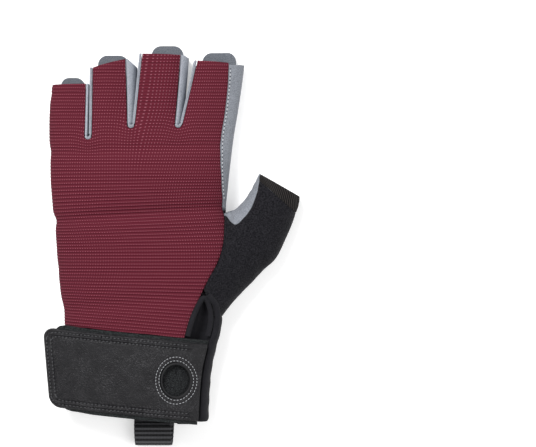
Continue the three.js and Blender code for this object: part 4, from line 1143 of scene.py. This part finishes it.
leather = Finish("black grained leather", 0.4, specular=0.25)
where = leather.node("TexCoord", None, output=3)
cells = leather.node("TexVoronoi", {"feature": "DISTANCE_TO_EDGE"}, Vector=where, Scale=1150.0)
grain = cells.between(0.0, 0.28)
worn = leather.noise(9)
hide = leather.blend(grain * 0.6 + worn * 0.3, (0.002, 0.002, 0.003), (0.011, 0.01, 0.012))
# glint: painted highlight specks in the leather's colour, where the worn noise is middling. worn also sets
# the leather's real tone and roughness.
glint = leather.noise(0.55, detail=1).between(0.5, 0.72) * worn.between(0.4, 0.62)
leather.colour(glint * 0.4, hide, (0.09, 0.09, 0.095))
leather.to("Roughness", worn * 0.22 + 0.34)
leather.bump(grain + leather.noise(2.2) * 0.5, 0.13)

strap = sheet("closure_strap", strap_surface, [(strap_y, strap_x)], SEAM_GAP + STRAP_LEATHER,
              -SEAM_GAP - 1.2 * MM, leather.material, ["strap"], relief=strap_relief)
cutter_mesh = bpy.data.meshes.new("hole_cutter")
shape, hole = bmesh.new(), EYELET_INNER + EYELET_WALL + SEAM_GAP
bmesh.ops.create_cone(shape, cap_ends=True, segments=64, radius1=hole, radius2=hole, depth=30 * MM)
bmesh.ops.translate(shape, vec=(*(EYELET + ORIGIN[:2]), 28 * MM), verts=shape.verts)
shape.to_mesh(cutter_mesh)
shape.free()
for vertex in cutter_mesh.vertices:
    vertex.co.y = ORIGIN[1] + EYELET[1] + (vertex.co.y - ORIGIN[1] - EYELET[1]) * OVAL[1]
cutter = add_object("hole_cutter", cutter_mesh)
for layer in (strap, strap_backing):
    cut = layer.modifiers.new("hole", "BOOLEAN")
    cut.object, cut.operation, cut.solver = cutter, "DIFFERENCE", "EXACT"
    bpy.context.view_layer.update()
    holed = bpy.data.meshes.new_from_object(layer.evaluated_get(bpy.context.evaluated_depsgraph_get()))
    layer.modifiers.clear()
    layer.data = holed
bpy.data.objects.remove(cutter)


def on_strap(xy, lift):
    """Points on the strap at plan places, and the way out of it there."""
    x, y = xy[:, 0], xy[:, 1]
    out = normals(strap_surface, y, x)
    return strap_surface(y, x) + out * (SEAM_GAP + STRAP_LEATHER + lift), out


def strap_row(inset):
    """A stitch line round the strap's long edges and free end, at one distance inside them."""
    half, corner = STRAP_WIDTH / 2 - inset, STRAP_CORNER - inset * 0.5
    turns = np.linspace(0, math.pi / 2, 8)
    left = -STRAP_REACH + inset
    ends = [(left + corner * (1 - math.sin(t)), half - corner * (1 - math.cos(t))) for t in turns]
    plan = [(x, half) for x in np.linspace(28 * MM, left + corner + 6 * MM, 9)] + ends
    plan += [(x, -a) for x, a in reversed(plan)]
    slant = [(x - STRAP_SLANT * a * (x < left + corner + MM), a) for x, a in plan]
    return curve_through([(x, STRAP_MIDDLE - STRAP_FALL * x + a) for x, a in slant], STITCH_PITCH * MM)


strap_thread = twisted("black waxed thread", (0.02, 0.02, 0.022), (0.06, 0.06, 0.065), 0.5, specular=0.4)
stitches("strap_stitching", [on_strap(strap_row(row * MM), -0.1 * MM) for row in STRAP_ROWS], 1.35 * MM,
         0.32 * MM, strap_thread.material)

# Clip hole: a moulded black ring lines the hole in the strap, inside two rings of pale stitches. A carabiner
# holds the glove by it.
rubber = Finish("black moulded ring", 0.7, specular=0.2)
rubber.to("Roughness", rubber.noise(1.2) * 0.2 + 0.45)
rubber.colour(rubber.noise(2), (0.006, 0.006, 0.007), (0.014, 0.014, 0.015))
AROUND, TUBE = 64, 24  # places round the hole, and round the ring's own section
turn, tour = np.meshgrid(*(np.linspace(0, 2 * math.pi, count + 1)[:-1] for count in (AROUND, TUBE)),
                         indexing="ij")
radial = EYELET_INNER + EYELET_WALL / 2 + EYELET_WALL / 2 * power(np.cos(tour), 0.6)
high = SEAM_GAP + (STRAP_LEATHER + 0.6 * MM) * (0.5 + 0.5 * power(np.sin(tour), 0.6))
ring_x, ring_y = EYELET[0] + radial * np.cos(turn) * OVAL[0], EYELET[1] + radial * np.sin(turn) * OVAL[1]
ring_points = strap_surface(ring_y, ring_x) + normals(strap_surface, ring_y, ring_x) * high[..., None]
ring_points = ring_points.reshape(-1, 3) + ORIGIN
here = np.arange(AROUND * TUBE).reshape(AROUND, TUBE)
beside = np.roll(here, -1, 0)
ring_faces = np.stack([here, beside, np.roll(beside, -1, 1), np.roll(here, -1, 1)], -1).reshape(-1, 4)
finish_piece("clip_ring", ring_points, ring_faces.tolist(), ring_points[:, :2], rubber.material, ["eyelet"])

pale_thread = twisted("pale grey thread", (0.25, 0.26, 0.27), (0.45, 0.46, 0.48), 0.6, sheen=0.2)
turns = np.linspace(0, 2 * math.pi, 400)
round_hole = np.stack([np.cos(turns), np.sin(turns)], 1) * OVAL
circles = [curve_through(EYELET + radius * MM * round_hole, CLIP_PITCH * MM) for radius in CLIP_ROWS]
stitches("clip_hole_stitching", [on_strap(circle, -0.02 * MM) for circle in circles], 1.1 * MM, 0.17 * MM,
         pale_thread.material)

# Loops: ribbed nylon webbing runs under the whole cuff, round the end of the pull loop and back inside. Two
# narrow tapes are folded into the cuff's edge beside it.
PICK = 2.3  # pitch of the webbing's ribs, mm
webbing = Finish("black ribbed webbing", 0.7, specular=0.2, sheen=0.03)
w_u, w_v = webbing.cloth_uv()
picks = webbing.wave(w_v, PICK)
ends = webbing.wave(w_u, 0.8)
webbing.colour(picks.between(0.2, 0.8) * 0.8 + ends * 0.2, (0.002, 0.002, 0.003), (0.085, 0.086, 0.092))
webbing.bump(picks + ends * 0.25, 0.4)


def ribbon(name, route, thickness, middle, width, pick, nodes, skew=0.0):
    """A flat tape along a route of (y, z), its corners rounded and its weft standing out as ribs. skew is how
    far its lower layer lies to the thumb's side."""
    line = np.asarray(route)
    along = unit(np.gradient(line, axis=0))
    length = run_length(line, 0)[:, None]
    turns = np.linspace(0, 2 * math.pi, 49)[:-1]
    rib = np.sin(length / pick * 2 * math.pi)
    x = middle + width / 2 * power(np.cos(turns), 0.18) * (0.994 + 0.006 * rib)
    x = x + skew * (0.5 - smooth(length, length[-1] * 0.5, length[-1] * 0.75))
    off = thickness / 2 * power(np.sin(turns), 0.45) * (0.94 + 0.06 * rib)
    verts = np.stack([x, line[:, :1] - along[:, 1:] * off, line[:, 1:] + along[:, :1] * off], -1)
    uvs = np.stack([x - middle, np.broadcast_to(length, x.shape)], -1).reshape(-1, 2)
    return finish_piece(name, verts.reshape(-1, 3) + ORIGIN, tube_faces(len(line), len(turns)), uvs,
                        webbing.material, nodes)


def band_inner(x, y):
    """Height of the cuff band's inner face."""
    x, y = np.array(x), np.array(y)
    return float(skin(under_angle(x, y), y)[..., 2]) + 0.9 * MM + SEAM_GAP


def turned(far, end, low, radius, back):
    """A route of (y, z) from far to end along the bottom, round a bend, and back through the given points."""
    turns = np.linspace(0, math.pi, 25)
    bend = [(end - radius * math.sin(t), low + radius * (1 - math.cos(t))) for t in turns]
    line = [(y, low) for y in np.arange(far, end, -0.5 * MM)] + bend
    for a, b in zip([bend[-1], *back], back):
        count = max(2, round(math.dist(a, b) / (0.5 * MM)))
        line += [tuple(mix(np.array(a), np.array(b), k / count)) for k in range(1, count + 1)]
    return line


WEBBING, WEBBING_WIDTH, BEND = 1.8 * MM, 20.4 * MM, 3.6 * MM
LOOP_REACH = 21 * MM  # how far the pull loop stands out of the cuff
webbing_end = mix(BAND_LOW[1], BAND_LOW[0], 0.55) * HAND - LOOP_REACH + BEND
inner_leg = band_inner(WEBBING_MIDDLE + 11 * MM, BAND_LOW[0] * HAND) + WEBBING / 2
top_leg = WEBBING / 2 + 2 * BEND
ribbon("pull_loop", turned(BAND_TOP * HAND, webbing_end, WEBBING / 2, BEND,
                           [(webbing_end + 6 * MM, top_leg), (0, inner_leg), (24 * MM, inner_leg)]),
       WEBBING, WEBBING_MIDDLE, WEBBING_WIDTH, PICK * MM, ["pull_loop"], skew=1.6 * MM)
TAPE, TAPE_BEND, TAPE_SEWN_IN = 1.2 * MM, 0.8 * MM, 9 * MM
for name, middle, width, drop in (("hang_loop", -0.244 * PALM, 9.5 * MM, 5 * MM),
                                  ("side_tab", 0.286 * PALM, 10.5 * MM, 6 * MM)):
    edge = middle + math.copysign(width / 2, middle)
    low_y = mix(BAND_LOW[0], BAND_LOW[1], 0.5 + middle / PALM) * HAND
    sewn_y = low_y + TAPE_SEWN_IN
    level = band_inner(edge, sewn_y) + TAPE
    route = turned(sewn_y, low_y - drop + TAPE_BEND, level, TAPE_BEND, [(sewn_y, level + 2 * TAPE_BEND)])
    ribbon(name, route, TAPE, middle, width, 1.5 * MM, [name])

# Studio: a plain white floor, with a broad soft light from the upper left and a weaker one across from it.
# A long lens looks straight down, as in the photograph.
FRAME_CENTRE = np.array([72, 108]) * MM  # middle of the photograph, in the hand's frame
FRAME_WIDTH = 294.8 * MM
DISTANCE = 2.2
SENSOR = 36  # millimetres, as the lens is
floor_mesh = bpy.data.meshes.new("floor")
floor_mesh.from_pydata([(-3, -3, 0), (3, -3, 0), (3, 3, 0), (-3, 3, 0)], [], [[0, 1, 2, 3]])
floor = add_object("floor", floor_mesh)
paper = Finish("white paper floor", 0.9, specular=0.1)
paper.colour(paper.noise(300), (0.8, 0.8, 0.8), (0.82, 0.82, 0.82))
paper.shader.inputs["Emission Color"].default_value = (1, 1, 1, 1)
paper.shader.inputs["Emission Strength"].default_value = 0.42
floor_mesh.materials.append(paper.material)

for name, place, size, watts in (("key", (-0.5, 0.8, 1.2), 0.6, 26), ("fill", (0.8, -0.4, 1.3), 1.2, 9)):
    light = bpy.data.lights.new(name, "AREA")
    light.energy, light.size = watts, size
    lamp = add_object(name, light)
    lamp.location = place
    x, y, z = place
    lamp.rotation_euler = (math.atan2(math.hypot(x, y), z), 0, math.atan2(-y, -x) - math.pi / 2)
world = bpy.data.worlds.new("studio")
world.use_nodes = True
world.node_tree.nodes["Background"].inputs["Color"].default_value = (1, 1, 1, 1)
world.node_tree.nodes["Background"].inputs["Strength"].default_value = 0.55
bpy.context.scene.world = world
bpy.context.scene.view_settings.view_transform = "Standard"

camera_data = bpy.data.cameras.new("camera")
camera_data.sensor_width = SENSOR
camera_data.lens = SENSOR * DISTANCE / FRAME_WIDTH
camera = add_object("camera", camera_data)
camera.location = (*(FRAME_CENTRE + ORIGIN[:2]), DISTANCE)
bpy.context.scene.camera = camera
